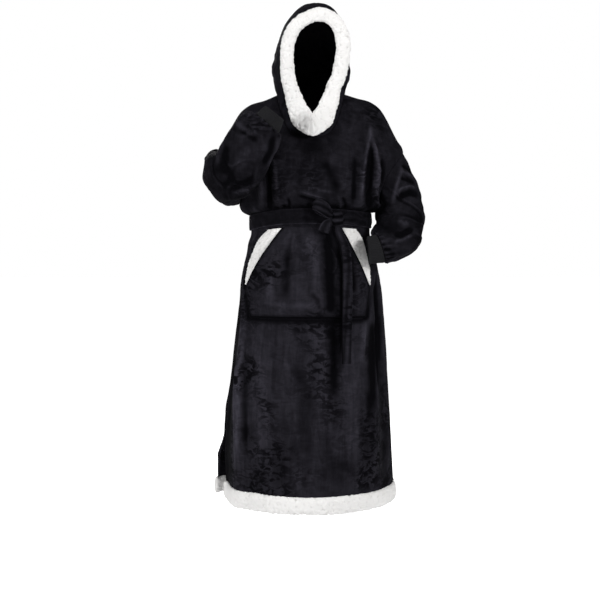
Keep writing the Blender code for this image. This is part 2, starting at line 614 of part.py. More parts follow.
POCKET_COLUMNS = ("z", "x_left", "x_right")
POCKET_EDGE = (
    (-0.3775, -0.080, 0.088),
    (-0.4600, -0.132, 0.124),
    (-0.5500, -0.183, 0.168),
    (-0.5600, -0.185, 0.170),
    (-0.6400, -0.174, 0.158),
)
POCKET_SLANT_TOP, POCKET_SLANT_FOOT = -0.3775, -0.550
POCKET_LIFT = 0.016            # hollow between the pocket and the panel, at its middle
POCKET_MOUTH = 0.012           # the same at the middle of a slanted edge
POCKET_ROWS, POCKET_ACROSS = 9, 18
PATCH_STAND = 0.0013           # air under a patch that is sewn on the curved panel
POCKET_TROUGH = 0.4            # share of the lift that a soft hollow beside the belt's long end takes
FACING_THICK = 0.007           # sherpa facing beside each slanted edge
FACING_EDGE = (                # z, distance from the pocket's edge to the facing's outer edge
    (-0.3785, 0.040),
    (-0.4100, 0.046),
    (-0.4500, 0.038),
    (-0.4900, 0.028),
    (-0.5250, 0.014),
    (-0.5470, 0.002),
)


def row_at_height(z):
    """The body row whose front lies at a height, read between the panel's rows."""
    rows = PANEL_ROWS[PANEL_ROWS >= BELT_TOP_ROW]
    return np.interp(-np.asarray(z), -body_ring(rows).z_front, rows)


def bearing_at(row, x):
    """The bearing at which the front of a body row reaches x, from the superellipse turned round."""
    ring = body_ring(row)
    reach = np.where(x < 0, -ring.x_left, ring.x_right)
    share = np.clip(np.abs(x) / reach, 0, 1) ** (ring.square / 2)
    return np.sign(x) * np.degrees(np.arcsin(share))


def on_front(x, z, lift):
    """Points over the front panel at a width and a height: read between the panel's own points, then
    moved out along its normals."""
    row = row_at_height(z)
    bearing = bearing_at(row, x)
    half = 90 - armhole_angle(row) - vent_angle(row) - seam_angle(row)
    column = (bearing / half + 1) / 2 * FRONT_COLUMNS
    i = np.clip(np.searchsorted(PANEL_ROWS, row, side="right") - 1, 0, len(PANEL_ROWS) - 2)
    j = np.clip(np.floor(column).astype(int), 0, FRONT_COLUMNS - 1)
    u = ((row - PANEL_ROWS[i]) / (PANEL_ROWS[i + 1] - PANEL_ROWS[i]))[..., None]
    v = (column - j)[..., None]
    upper = FRONT_POINTS[i, j] * (1 - v) + FRONT_POINTS[i, j + 1] * v
    lower = FRONT_POINTS[i + 1, j] * (1 - v) + FRONT_POINTS[i + 1, j + 1] * v
    here = upper * (1 - u) + lower * u
    return here + body_normals(row, bearing) * np.asarray(lift)[..., None]


def pocket_edges(z):
    """The pocket's left and right edge at a height: straight runs between the table's corners."""
    heights = [-row[0] for row in POCKET_EDGE]
    return [np.interp(-z, heights, [row[k] for row in POCKET_EDGE]) for k in (1, 2)]


def pocket():
    """The pocket's patch with its hollow behind."""
    z = np.linspace(POCKET_EDGE[0][0], POCKET_EDGE[-1][0], POCKET_ROWS + 1)[:, None]
    left, right = pocket_edges(z)
    across = np.linspace(0, 1, POCKET_ACROSS + 1)[None, :]
    x = left + (right - left) * across
    down = (z - POCKET_EDGE[0][0]) / (POCKET_EDGE[-1][0] - POCKET_EDGE[0][0])
    slant = np.clip((z - POCKET_SLANT_TOP) / (POCKET_SLANT_FOOT - POCKET_SLANT_TOP), 0, 1)
    mouth = POCKET_MOUTH * np.sin(np.pi * slant) ** 0.8
    hollow = POCKET_LIFT * np.sin(np.pi * down) ** 0.6
    inward = np.sin(np.pi * across) ** 0.5
    trough = 1 - POCKET_TROUGH * bump(across - 0.72, 0.16) * slant
    lift = PATCH_STAND + mouth * (1 - inward) + hollow * trough * inward
    outer = on_front(x, z, lift + CLOTH)
    inner = on_front(x, z, lift)
    return wall("pocket", outer, inner, FLEECE)


def pocket_facing(name, side):
    """The sherpa facing that shows beside a slanted pocket edge, tapering to the edge's foot."""
    heights = [-row[0] for row in FACING_EDGE]
    z = np.linspace(FACING_EDGE[0][0], FACING_EDGE[-1][0], 8)[:, None]
    edge = pocket_edges(z)[0 if side < 0 else 1]
    width = glide(heights, [row[1] for row in FACING_EDGE], -z[:, 0])[:, None]
    across = np.linspace(0, 1, 5)[None, :]
    x = edge + side * (0.0012 + width * across)
    thick = FACING_THICK * (0.35 + 0.65 * np.sin(np.pi * across) ** 0.5) * np.ones_like(z)
    stand = PATCH_STAND + 0.0005
    outer = on_front(x, z, stand + thick)
    inner = on_front(x, z, stand * np.ones_like(thick))
    return wall(name, outer, inner, SHERPA)


pocket()
pocket_facing("pocket_facing_right", -1)
pocket_facing("pocket_facing_left", 1)


# Belt: a flat tube of the same fleece round the waist, tied in a knot with one loop, a short end and a
# long end.

BELT_CORNERS = 8
BELT_STAND = 0.0005            # air between the belt and the body's skin
KNOT_X = 0.072                 # where the knot sits on the front
KNOT_DROP = 0.006              # how far its middle lies below the belt's middle
KNOT_HALF = (0.017, 0.013, 0.0215)
KNOT_LEVELS = (-75, -48, -18, 18, 48, 75)


def belt_skin(bearing, stand):
    """A point on the middle of the belt's path, and the horizontal way out there."""
    at = plain_body((BELT_TOP_ROW + BELT_FOOT_ROW) / 2, bearing)
    ahead = plain_body(10.5, bearing + 0.5) - plain_body(10.5, bearing - 0.5)
    out = unit(np.stack([ahead[..., 1], -ahead[..., 0], np.zeros_like(ahead[..., 0])], axis=-1))
    return at + out * stand, out


def waist_belt():
    """The belt's closed band, a flat superellipse section carried round the waist. Its rings stand on the
    panels' own columns."""
    front = np.linspace(-90, 90, FRONT_COLUMNS + 1)[:-1]
    back = np.linspace(90, 270, BACK_COLUMNS + 1)[:-1]
    bearing = np.concatenate([front, back])
    middle, out = belt_skin(bearing, BELT_STAND + BELT_THICK / 2)
    a, b = pillow_section(BELT_CORNERS, BELT_WIDTH / 2, BELT_THICK / 2, 3.5)
    up = np.array([0.0, 0.0, 1.0])
    rings = middle[:, None, :] + a[None, :, None] * up + b[None, :, None] * out[:, None, :]
    return roll("belt", rings, FLEECE, closed=True)


def knot():
    """The knot: a rounded block in front of the belt. Returns its middle and the ways to the wearer's
    right, outwards and up."""
    bearing = bearing_at(np.array(10.5), np.array(KNOT_X))
    face, out = belt_skin(bearing, BELT_STAND + BELT_THICK + SEAM_GAP)
    side = np.cross(out, np.array([0.0, 0.0, 1.0]))
    up = np.array([0.0, 0.0, 1.0])
    middle = face + out * KNOT_HALF[1] - up * KNOT_DROP
    rings = []
    for level in np.sin(np.radians(KNOT_LEVELS)):
        size = (1 - abs(level) ** 3.0) ** (1 / 3.0)
        a, b = pillow_section(12, KNOT_HALF[0] * size, KNOT_HALF[1] * size, 3.0)
        rings.append(middle + up * level * KNOT_HALF[2] + np.outer(a, side) + np.outer(b, out))
    roll("belt_knot", np.array(rings), FLEECE)
    return middle, np.array([side, out, up])


def ribbon(name, stations, first_along, first_wide, corners=10):
    """A belt end or loop: a flat section carried along its stations. Its first ring faces the knot
    squarely, along first_along; its width starts along first_wide and is carried without twist."""
    middle, ways = KNOT
    table = np.array(stations, float)
    table[:, :3] = middle + table[:, :3] @ ways
    length = np.concatenate([[0], np.cumsum(np.linalg.norm(np.diff(table[:, :3], axis=0), axis=1))])
    share = np.linspace(0, 1, 2 * len(stations) - 1)
    read = glide(length / length[-1], table, share)
    along = unit(np.gradient(read[:, :3], axis=0))
    along[0] = np.array(first_along) @ ways
    wide = np.array(first_wide) @ ways
    rings = []
    for i in range(len(share)):
        wide = unit(wide - along[i] * np.dot(wide, along[i]))
        thick = np.cross(along[i], wide)
        a, b = pillow_section(corners, read[i, 3], read[i, 4], 3.0)
        rings.append(read[i, :3] + np.outer(a, wide) + np.outer(b, thick))
    return roll(name, np.array(rings), FLEECE)


KNOT_SIDE = KNOT_HALF[0] * (1 - np.sin(np.radians(18)) ** 3) ** (1 / 3) + SEAM_GAP
KNOT_UNDER = -KNOT_HALF[2] * np.sin(np.radians(75)) - SEAM_GAP

# Stations of the ends and the loop, measured from the knot's middle in its own ways
END_COLUMNS = ("right", "out", "up", "half_width", "half_thick")
LONG_END = (
    (0.0000, 0.0000, KNOT_UNDER, 0.0085, 0.0045),
    (-0.0006, 0.0022, -0.0310, 0.0115, 0.0050),
    (-0.0035, 0.0130, -0.0500, 0.0135, 0.0052),
    (-0.0122, 0.0326, -0.0850, 0.0145, 0.0052),
    (-0.0155, 0.0415, -0.1340, 0.0150, 0.0050),
    (-0.0153, 0.0475, -0.2040, 0.0150, 0.0048),
    (-0.0139, 0.0493, -0.2840, 0.0145, 0.0048),
    (-0.0130, 0.0486, -0.3640, 0.0145, 0.0048),
    (-0.0135, 0.0487, -0.4140, 0.0145, 0.0048),
)
SHORT_END = (
    (KNOT_SIDE, 0.0000, -0.0095, 0.0090, 0.0040),
    (0.0249, 0.0021, -0.0125, 0.0130, 0.0050),
    (0.0338, 0.0054, -0.0190, 0.0170, 0.0050),
    (0.0400, 0.0061, -0.0290, 0.0190, 0.0045),
    (0.0432, 0.0065, -0.0380, 0.0185, 0.0040),
)
LOOP = (
    (KNOT_SIDE, 0.0000, 0.0100, 0.0092, 0.0045),
    (0.0261, 0.0028, 0.0130, 0.0130, 0.0065),
    (0.0389, 0.0104, 0.0220, 0.0180, 0.0085),
    (0.0542, 0.0155, 0.0320, 0.0200, 0.0095),
    (0.0662, 0.0141, 0.0380, 0.0185, 0.0080),
    (0.0724, 0.0097, 0.0390, 0.0130, 0.0045),
)

waist_belt()
KNOT = knot()
ribbon("belt_long_end", LONG_END, (0, 0, -1), (-1, 0, 0))
ribbon("belt_short_end", SHORT_END, (1, 0, 0), (0, 0, 1))
ribbon("belt_loop", LOOP, (1, 0, 0), (0, 0, 1))
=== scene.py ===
"""Looks of a long wearable blanket hoodie with its tie belt, kept hollow in the form that it has when worn.

Metres, +Z up. The front faces -Y and the wearer's left side is +X. The origin is on the shoulder line, at
the middle of the neck. One arm is bent up to the hood (-X), the other down to the pocket (+X).
"""

from types import SimpleNamespace

import bpy
import numpy as np
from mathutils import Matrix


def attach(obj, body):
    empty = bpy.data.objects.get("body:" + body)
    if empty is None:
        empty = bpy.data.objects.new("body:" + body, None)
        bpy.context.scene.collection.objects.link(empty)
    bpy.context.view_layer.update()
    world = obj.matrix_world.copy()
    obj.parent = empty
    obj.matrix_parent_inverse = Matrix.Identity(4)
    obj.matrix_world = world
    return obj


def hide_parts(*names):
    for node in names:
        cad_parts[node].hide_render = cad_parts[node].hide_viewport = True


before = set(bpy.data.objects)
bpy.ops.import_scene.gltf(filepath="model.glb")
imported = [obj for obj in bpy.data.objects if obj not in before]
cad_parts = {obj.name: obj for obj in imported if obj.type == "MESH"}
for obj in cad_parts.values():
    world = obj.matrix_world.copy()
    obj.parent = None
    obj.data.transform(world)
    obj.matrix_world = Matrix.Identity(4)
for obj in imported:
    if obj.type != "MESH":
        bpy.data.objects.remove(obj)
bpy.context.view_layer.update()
MM = 1000
UP = np.array([0.0, 0.0, 1.0])
FOLD_PAINTED_SHADING, SEAM_PAINTED_SHADE = 85, 30  # painted highlight and shade: how much lighter the pile is painted for each metre that it is lifted, or darker for each metre that it is drawn in


def metres(table, plain=()):
    """A table given in millimetres, in metres. Its plain columns are other numbers and stay."""
    table = np.array(table, float)
    scale = np.full(table.shape[1], MM)
    scale[list(plain)] = 1
    return table / scale


# Front and back panels
# Two lengths of black flannel fleece, joined by the shoulder, armhole and side seams. The belt draws them
# in, and below the thighs the side seams end in open vents.

FLEECE_THICK = 0.004
SEAM_GAP = 0.00005
BODY_COLUMNS = ("z_front", "z_back", "z_left", "z_right", "x_left", "x_right", "y_front", "y_back",
                "y_seam", "scoop", "square")
BODY_ROWS = metres((           # rings from the neck seam (0) to the hem seam (18), as BODY_COLUMNS
    (-118, 20, 12, 15, -98, 100, -150, 78, 0, 4, 2),
    (-132, 4, -4, 3, -135, 137, -157, 98, 0, 4, 2),
    (-152, -18, -14, -6, -170, 172, -162, 115, 0, 4, 2.1),
    (-166, -45, -36, -28, -203, 205, -166, 130, 0, 3.5, 2.15),
    (-182, -75, -80, -75, -232, 233, -169, 140, 2, 3, 2.2),
    (-200, -110, -115, -118, -254, 255, -171, 147, 4, 2.6, 2.2),
    (-218, -145, -150, -160, -270, 276, -172, 152, 5, 2.2, 2.2),
    (-260, -225, -230, -240, -248, 254, -171, 156, 5, 2, 2.2),
    (-293, -293, -308, -312, -205, 209, -165, 150, 5, 2, 2.2),
    (-313, -320, -330, -328, -189, 192, -155, 141, 4, 2, 2.2),
    (-326, -336, -344, -338, -175, 177, -140, 130, 0, 2, 2.2),
    (-376, -386, -394, -388, -175, 177, -140, 130, 0, 2, 2.2),
    (-430, -435, -438, -436, -184, 187, -152, 147, 0, 2, 2.2),
    (-520, -520, -520, -520, -203, 205, -164, 168, 5, 2, 2.2),
    (-610, -610, -610, -610, -214, 215, -172, 188, 15, 2, 2.2),
    (-774, -774, -774, -774, -235, 230, -183, 224, 45, 2, 2.1),
    (-946, -946, -946, -946, -254, 243, -192, 255, 80, 2, 2.1),
    (-1080, -1080, -1080, -1080, -262, 252, -198, 277, 105, 2, 2.05),
    (-1152, -1152, -1152, -1152, -264, 257, -201, 288, 120, 2, 2),
), plain=(9, 10))
BELT_ROW, VENT_ROW, HEM_ROW = 10.5, 14.9, 18.0
ARMHOLE_ROW, ARMHOLE_SPREAD, ARMHOLE_STEPS = 7, 33.0, 64
POCKET_BEARING = 62
LARGE_FOLDS = (                # bearing_top, bearing_foot, row_top, row_foot, half_width, rise
    (44, 43, 3.6, 9.0, 10, 0.010),
    (-46, -42, 5.5, 9.0, 11, -0.006),
    (-26, -24, 6.5, 9.0, 9, 0.004),
    (-58, -52, 14.7, 18, 13, 0.009),
    (-82, -76, 13.5, 18, 15, -0.010),
    (12, 11, 14.7, 16.4, 11, -0.006),
    (50, 46, 14.7, 16.8, 11, 0.008),
    (68, 65, 13.0, 17.2, 13, -0.009),
    (-102, -103, 15.4, 18, 19, 0.009),
    (-102, -103, 16.4, 18, 19, 0.020),
    (180, 178, 4.5, 9.0, 14, 0.008),
    (150, 146, 4.6, 9.0, 12, -0.008),
    (-148, -143, 4.6, 9.0, 12, -0.008),
    (168, 160, 11.5, 18, 13, -0.012),
    (-166, -158, 11.5, 18, 13, 0.012),
    (142, 134, 12.0, 18, 13, 0.013),
    (-138, -132, 12.0, 18, 13, -0.013),
    (118, 112, 12.5, 18, 13, -0.011),
)


def glide(knots, values, at):
    """A smooth curve through the rows of a table: cubic pieces whose slope at a row is the harmonic mean
    of the slopes on its two sides, so that nothing overshoots."""
    knots = np.asarray(knots, float)
    values = np.asarray(values, float).reshape(len(knots), -1)
    at = np.clip(np.asarray(at, float), knots[0], knots[-1])
    gap = np.diff(knots)[:, None]
    rise = np.diff(values, axis=0) / gap
    before, after = rise[:-1], rise[1:]
    total = np.where(np.abs(before + after) < 1e-12, 1.0, before + after)
    slope = np.concatenate([rise[:1], np.where(before * after > 0, 2 * before * after / total, 0), rise[-1:]])
    i = np.clip(np.searchsorted(knots, at, side="right") - 1, 0, len(gap) - 1)
    h = gap[i]
    t = ((at - knots[i]) / gap[i, 0])[..., None]
    out = (
        values[i] * (1 + 2 * t) * (1 - t) ** 2
        + values[i + 1] * t * t * (3 - 2 * t)
        + slope[i] * h * t * (1 - t) ** 2
        - slope[i + 1] * h * t * t * (1 - t)
    )
    return out if out.shape[-1] > 1 else out[..., 0]


def limit(value):
    """The value, held between 0 and 1."""
    return np.clip(value, 0, 1)


def signed(bearing):
    """The same bearing, from -180 to 180."""
    return (bearing + 180) % 360 - 180


def unit(vectors):
    """The vectors, each made one long."""
    return vectors / np.maximum(np.linalg.norm(vectors, axis=-1, keepdims=True), 1e-12)


def moved(points, ways, by):
    """The points, each moved along its way by its own distance."""
    return points + ways * by[..., None]


def bump(distance, half_width):
    """A smooth hump: 1 at distance 0, and 0 from half_width on."""
    t = limit(1 - np.abs(distance) / half_width)
    return t * t * (3 - 2 * t)


def between(at, low, high, fade):
    """1 between low and high, and fading to 0 over fade outside them."""
    rise = limit((at - low) / fade + 1)
    fall = limit((high - at) / fade + 1)
    return rise * rise * (3 - 2 * rise) * fall * fall * (3 - 2 * fall)


def level_out(ahead):
    """The horizontal way out, square to the way ahead round a ring."""
    return unit(np.stack([ahead[..., 1], -ahead[..., 0], np.zeros_like(ahead[..., 0])], axis=-1))


def grid_normals(points, closed):
    """Normals of a point grid, from its slopes both ways; a closed one runs round in its second direction."""
    down = np.gradient(points, axis=0)
    if closed:
        across = np.roll(points, -1, axis=1) - np.roll(points, 1, axis=1)
    else:
        across = np.gradient(points, axis=1)
    return unit(np.cross(down, across))


def wander(points, size, seed):
    """A smooth uneven field from -1 to 1 over space: the mean of nine sine waves with random ways and
    phases, each from 0.7 to 1.6 times size long."""
    draw = np.random.default_rng(seed)
    ways = unit(draw.normal(size=(9, 3))) * (2 * np.pi / (size * draw.uniform(0.7, 1.6, (9, 1))))
    return np.sin(points @ ways.T + draw.uniform(0, 2 * np.pi, 9)).mean(axis=-1) * 1.6


def creases(points, normals, strokes):
    """How far given creases lift a surface. Strokes are listed by the side they are seen from, each as
    (path, half_width, rise) in mm, with its path as pairs of x or y and z. A stroke's lift is a hump over
    the distance from the path, which fades at both ends and where the cloth turns away."""
    rise = np.zeros(points.shape[:-1])
    for side, group in strokes.items():
        axis, way = {"front": (1, -1), "back": (1, 1), "left": (0, 1), "right": (0, -1)}[side]
        flat = points[..., [1 - axis, 2]]
        toward = way * normals[..., axis]
        for path, half_width, height in group:
            path = np.array(path, float).reshape(-1, 2) / MM
            length = np.linalg.norm(np.diff(path, axis=0), axis=1)
            start = np.concatenate([[0], np.cumsum(length)])
            nearest = np.full(rise.shape, 9.0)
            along = np.zeros(rise.shape)
            for k in range(len(length)):
                step = path[k + 1] - path[k]
                share = limit((flat - path[k]) @ step / length[k] ** 2)
                away = np.linalg.norm(flat - path[k] - share[..., None] * step, axis=-1)
                closer = away < nearest
                nearest = np.where(closer, away, nearest)
                along = np.where(closer, (start[k] + share * length[k]) / start[-1], along)
            ends = bump(limit(1 - np.minimum(along, 1 - along) * 3.6), 1.0)
            rise += height / MM * bump(nearest, half_width / MM) * ends * limit(toward * 2.5 - 0.2)
    return rise


def grid_quads(rows, columns, closed):
    """Corner numbers of the quads of a point grid, which may run round in its second direction."""
    i = np.arange(rows - 1)[:, None]
    j = np.arange(columns if closed else columns - 1)[None, :]
    k = (j + 1) % columns
    corners = [i * columns + j, i * columns + k, (i + 1) * columns + k, (i + 1) * columns + j]
    return np.stack(np.broadcast_arrays(*corners), axis=-1).reshape(-1, 4)


def make_piece(node, points, faces, cloth, uv=None, relief_shading=0.45):
    """A smooth piece from points and faces, turned so that its faces point out, that stands for a CAD node.
    uv is a map in metres. Each point's painted light and shade, from 0 to 1, follows how high it lies in its
    folds or curls: painted highlight where it is raised, painted shade where it is sunk or beside other
    parts."""
    finish, slot, ending = cloth
    name = node + ending
    points = points.reshape(-1, 3)
    corner = points[faces]
    turn = np.cross(corner[:, 1] - corner[:, 0], corner[:, 2] - corner[:, 0])
    turn += np.cross(corner[:, 2] - corner[:, 0], corner[:, 3] - corner[:, 0])
    if np.sum(corner.mean(axis=1) * turn) < 0:
        faces = faces[:, ::-1]
    mesh = bpy.data.meshes.new(name)
    mesh.from_pydata(points.tolist(), [], faces.tolist())
    mesh.update()
    mesh.shade_smooth()
    if uv is not None:
        layer = mesh.uv_layers.new(name="cloth")
        corners = np.empty(len(mesh.loops), dtype=np.int32)
        mesh.loops.foreach_get("vertex_index", corners)
        layer.data.foreach_set("uv", uv.reshape(-1, 2)[corners].ravel())
    relief_shading = limit(np.ravel(relief_shading))
    mesh.attributes.new("relief_shading", "FLOAT", "POINT").data.foreach_set("value", relief_shading)
    mesh.materials.append(finish)
    piece = bpy.data.objects.new(name, mesh)
    bpy.context.scene.collection.objects.link(piece)
    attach(piece, "root")
    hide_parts(node)
    return piece


def cloth_piece(node, outer, inner, cloth, closed=False, uv=None, relief_shading=0.45, lining=0.15):
    """A cloth shell between an outer and an inner point grid, with its edges closed. The painted light and
    shade that it is given is that of the outer grid, and lining is that of the inner one."""
    rows, columns = outer.shape[:2]
    size = rows * columns
    face = grid_quads(rows, columns, closed)
    first = np.arange(columns if closed else columns - 1)
    left = np.arange(rows - 1) * columns
    last, right = first + size - columns, left + columns - 1
    after, after_last = (first + 1) % columns, (first + 1) % columns + size - columns
    rims = [(after, first), (last, after_last)]
    if not closed:
        rims += [(left, left + columns), (right + columns, right)]
    rims = [np.stack([a, b, size + b, size + a], axis=-1) for a, b in rims]
    faces = np.concatenate([face, size + face[:, ::-1], *rims])
    both = None if uv is None else np.concatenate([uv.reshape(-1, 2)] * 2)
    points = np.concatenate([outer.reshape(-1, 3), inner.reshape(-1, 3)])
    relief_shading = np.concatenate([np.ravel(relief_shading + np.zeros((rows, columns))), np.full(size, lining)])
    return make_piece(node, points, faces, cloth, uv=both, relief_shading=relief_shading)


def fill_sockets(tree, node, sockets):
    """Set a node's inputs to values, or link them to other nodes' outputs."""
    for name, value in sockets.items():
        if isinstance(value, bpy.types.NodeSocket):
            tree.links.new(value, node.inputs[name])
        else:
            node.inputs[name].default_value = value


def add_node(tree, kind, sockets=None, **settings):
    """A shader node with its settings and inputs."""
    node = tree.nodes.new("ShaderNode" + kind)
    for name, value in settings.items():
        setattr(node, name, value)
    fill_sockets(tree, node, sockets or {})
    return node


def maths(tree, operation, *values):
    """The outcome of a sum on values or outputs."""
    return add_node(tree, "Math", dict(enumerate(values)), operation=operation).outputs[0]


def mapped(tree, value, low, high, to_low=0.0, to_high=1.0, kind="LINEAR"):
    """A value carried over from one range to another, and held in it."""
    sockets = {"Value": value, "From Min": low, "From Max": high, "To Min": to_low, "To Max": to_high}
    return add_node(tree, "MapRange", sockets, interpolation_type=kind).outputs["Result"]


def noise(tree, place, scale, detail, rough=0.5, twist=0.0):
    """Noise over a place."""
    sockets = {"Vector": place, "Scale": scale, "Detail": detail, "Roughness": rough, "Distortion": twist}
    return add_node(tree, "TexNoise", sockets).outputs["Fac"]


def blend(tree, share, low, high, clamp=True):
    """A colour between two, by a share."""
    colours = {0: share, 6: (*low, 1), 7: (*high, 1)}
    return add_node(tree, "Mix", colours, data_type="RGBA", clamp_factor=clamp).outputs[2]


def new_finish(name):
    """A new finish and its shader tree."""
    finish = bpy.data.materials.new(name)
    finish.use_nodes = True
    return finish, finish.node_tree


def place_and_painted_shading(tree):
    """The place on the part, and the painted light and shade that make_piece gives each point."""
    folds = add_node(tree, "Attribute", attribute_name="relief_shading")
    return add_node(tree, "TexCoord").outputs["Object"], folds.outputs["Fac"]


def set_shader(tree, height, strength, distance, **sockets):
    """Set the main shader's inputs, and give it a bump. Names have _ for a space."""
    relief_shading = add_node(tree, "Bump", {"Height": height, "Strength": strength, "Distance": distance})
    sockets = {name.replace("_", " "): value for name, value in sockets.items()}
    fill_sockets(tree, tree.nodes["Principled BSDF"], {"Normal": relief_shading.outputs["Normal"], **sockets})


def fleece_finish():
    """Black flannel fleece: crush marks in patches, with more of them low on the skirt, brushed strokes that
    run down the cloth, and the fine pile, under a soft sheen. Raised folds are painted lighter and hollows
    painted darker, as painted highlight and shade."""
    finish, tree = new_finish("black_flannel_fleece")
    place, folds = place_and_painted_shading(tree)
    wide, long = [add_node(tree, "Mapping", {"Vector": place, "Scale": (1.0, 1.0, height)}).outputs[0]
                  for height in (1.9, 0.16)]
    low = mapped(tree, add_node(tree, "SeparateXYZ", {"Vector": place}).outputs["Z"], -0.92, -1.08, 0.0, 0.11)
    where = maths(tree, "ADD", noise(tree, place, 6.5, 1.0), low)
    where = mapped(tree, where, 0.46, 0.66, kind="SMOOTHSTEP")
    marks = noise(tree, wide, 30.0, 3.0, 0.6, 1.1)
    pressed = maths(tree, "MULTIPLY", where, mapped(tree, marks, 0.42, 0.56, 1.0, 0.12, "SMOOTHSTEP"))
    strokes = noise(tree, long, 60.0, 3.0, 0.6, 0.5)
    pile = noise(tree, place, 800.0, 1.0, 0.6)
    tone = mapped(tree, strokes, 0.30, 0.70, 0.58, 1.12)
    # folds carries each point's painted light and shade: it brightens the tone on raised folds and darkens it
    # in hollows, beside other parts and in seams
    for share in (mapped(tree, marks, 0.33, 0.62, 0.76, 1.12), mapped(tree, pressed, 0.0, 1.0, 1.0, 0.06),
                  mapped(tree, folds, 0.0, 1.0, 0.0, 2.6)):
        tone = maths(tree, "MULTIPLY", tone, share)
    height = maths(tree, "MULTIPLY_ADD", strokes, 0.6, tone)
    height = maths(tree, "MULTIPLY_ADD", pile, 0.25, height)
    colour = blend(tree, tone, (0.0020, 0.0019, 0.0026), (0.0175, 0.0165, 0.0215), clamp=False)
    rough = mapped(tree, tone, 0.0, 1.0, 0.96, 0.78)
    set_shader(tree, height, 0.6, 0.002, Base_Color=colour, Roughness=rough, Specular_IOR_Level=0.02,
               Sheen_Weight=0.007, Sheen_Roughness=0.35, Sheen_Tint=(0.80, 0.82, 0.90, 1))
    return finish


def body_ring(row):
    """Every column of the body's table at a row, which need not be a whole number."""
    read = glide(np.arange(len(BODY_ROWS)), BODY_ROWS, row)
    return SimpleNamespace(**{name: read[..., k] for k, name in enumerate(BODY_COLUMNS)})


def plain_body(row, bearing):
    """The body without folds: a superellipse ring, whose height climbs from the middle to the sides as
    |sin bearing| to the power of scoop. Bearing 0 is the middle of the front, 90 the wearer's left side."""
    ring = body_ring(row)
    s, c = np.sin(np.radians(bearing)), np.cos(np.radians(bearing))
    wide = np.where(s < 0, -ring.x_left, ring.x_right)
    deep = np.where(c > 0, ring.y_seam - ring.y_front, ring.y_back - ring.y_seam)
    x = np.sign(s) * np.abs(s) ** (2 / ring.square) * wide
    y = ring.y_seam - np.sign(c) * np.abs(c) ** (2 / ring.square) * deep
    climb = np.abs(s) ** ring.scoop
    z_side, z_middle = np.where(s < 0, ring.z_left, ring.z_right), np.where(c > 0, ring.z_front, ring.z_back)
    z = z_side * climb + z_middle * (1 - climb)
    return np.stack([x, y, z], axis=-1)


def fold_rise(row, bearing):
    """How far the large folds and the belt's gathers lift the body's skin off its plain ring: a hump round
    each fold's own bearing, plus eleven small waves on each side of the belt."""
    rise = np.zeros(np.broadcast(row, bearing).shape)
    for top, foot, row_top, row_foot, half_width, height in LARGE_FOLDS:
        share = limit((row - row_top) / (row_foot - row_top))
        aside = signed(bearing - (top + (foot - top) * share))
        rise = rise + height * bump(aside, half_width) * between(row, row_top + 0.6, row_foot, 0.6)
    off_front = limit((np.abs(signed(bearing)) - POCKET_BEARING) / 15)
    off_belt = bump(row - 9.3, 0.7) + bump(row - 11.7, 0.7) * off_front
    rise = rise + 0.0030 * off_belt * np.sin(np.radians(bearing) * 11)
    return rise * limit(row / 1.5)


def body_skin(row, bearing):
    """The body's outer skin with its large folds, lifted along the horizontal way out from the ring."""
    row, bearing = np.broadcast_arrays(np.asarray(row, float), np.asarray(bearing, float))
    way_out = level_out(plain_body(row, bearing + 0.5) - plain_body(row, bearing - 0.5))
    return moved(plain_body(row, bearing), way_out, fold_rise(row, bearing))


def body_normals(row, bearing):
    """Outward normals of the body's skin, from its slopes, read just inside the first and last row."""
    row, bearing = np.broadcast_arrays(np.asarray(row, float), np.asarray(bearing, float))
    row = np.clip(row, 0.06, HEM_ROW - 0.06)
    down = body_skin(row + 0.05, bearing) - body_skin(row - 0.05, bearing)
    across = body_skin(row, bearing + 0.6) - body_skin(row, bearing - 0.6)
    return unit(np.cross(down, across))


def panel_half(row):
    """Half the angle that a panel takes round the ring: 90 degrees, less the armhole's half circle, which is
    two rows high, the vent's edge that draws back by 7 degrees at the hem, and the seam."""
    armhole = ARMHOLE_SPREAD * np.sqrt(limit(1 - (row - ARMHOLE_ROW) ** 2))
    vent = 7.0 * limit((row - VENT_ROW) / (HEM_ROW - VENT_ROW)) ** 1.5
    ring = body_ring(row)
    return 90 - armhole - vent - np.degrees(SEAM_GAP * 0.7 / (0.5 * (ring.x_right - ring.x_left)))


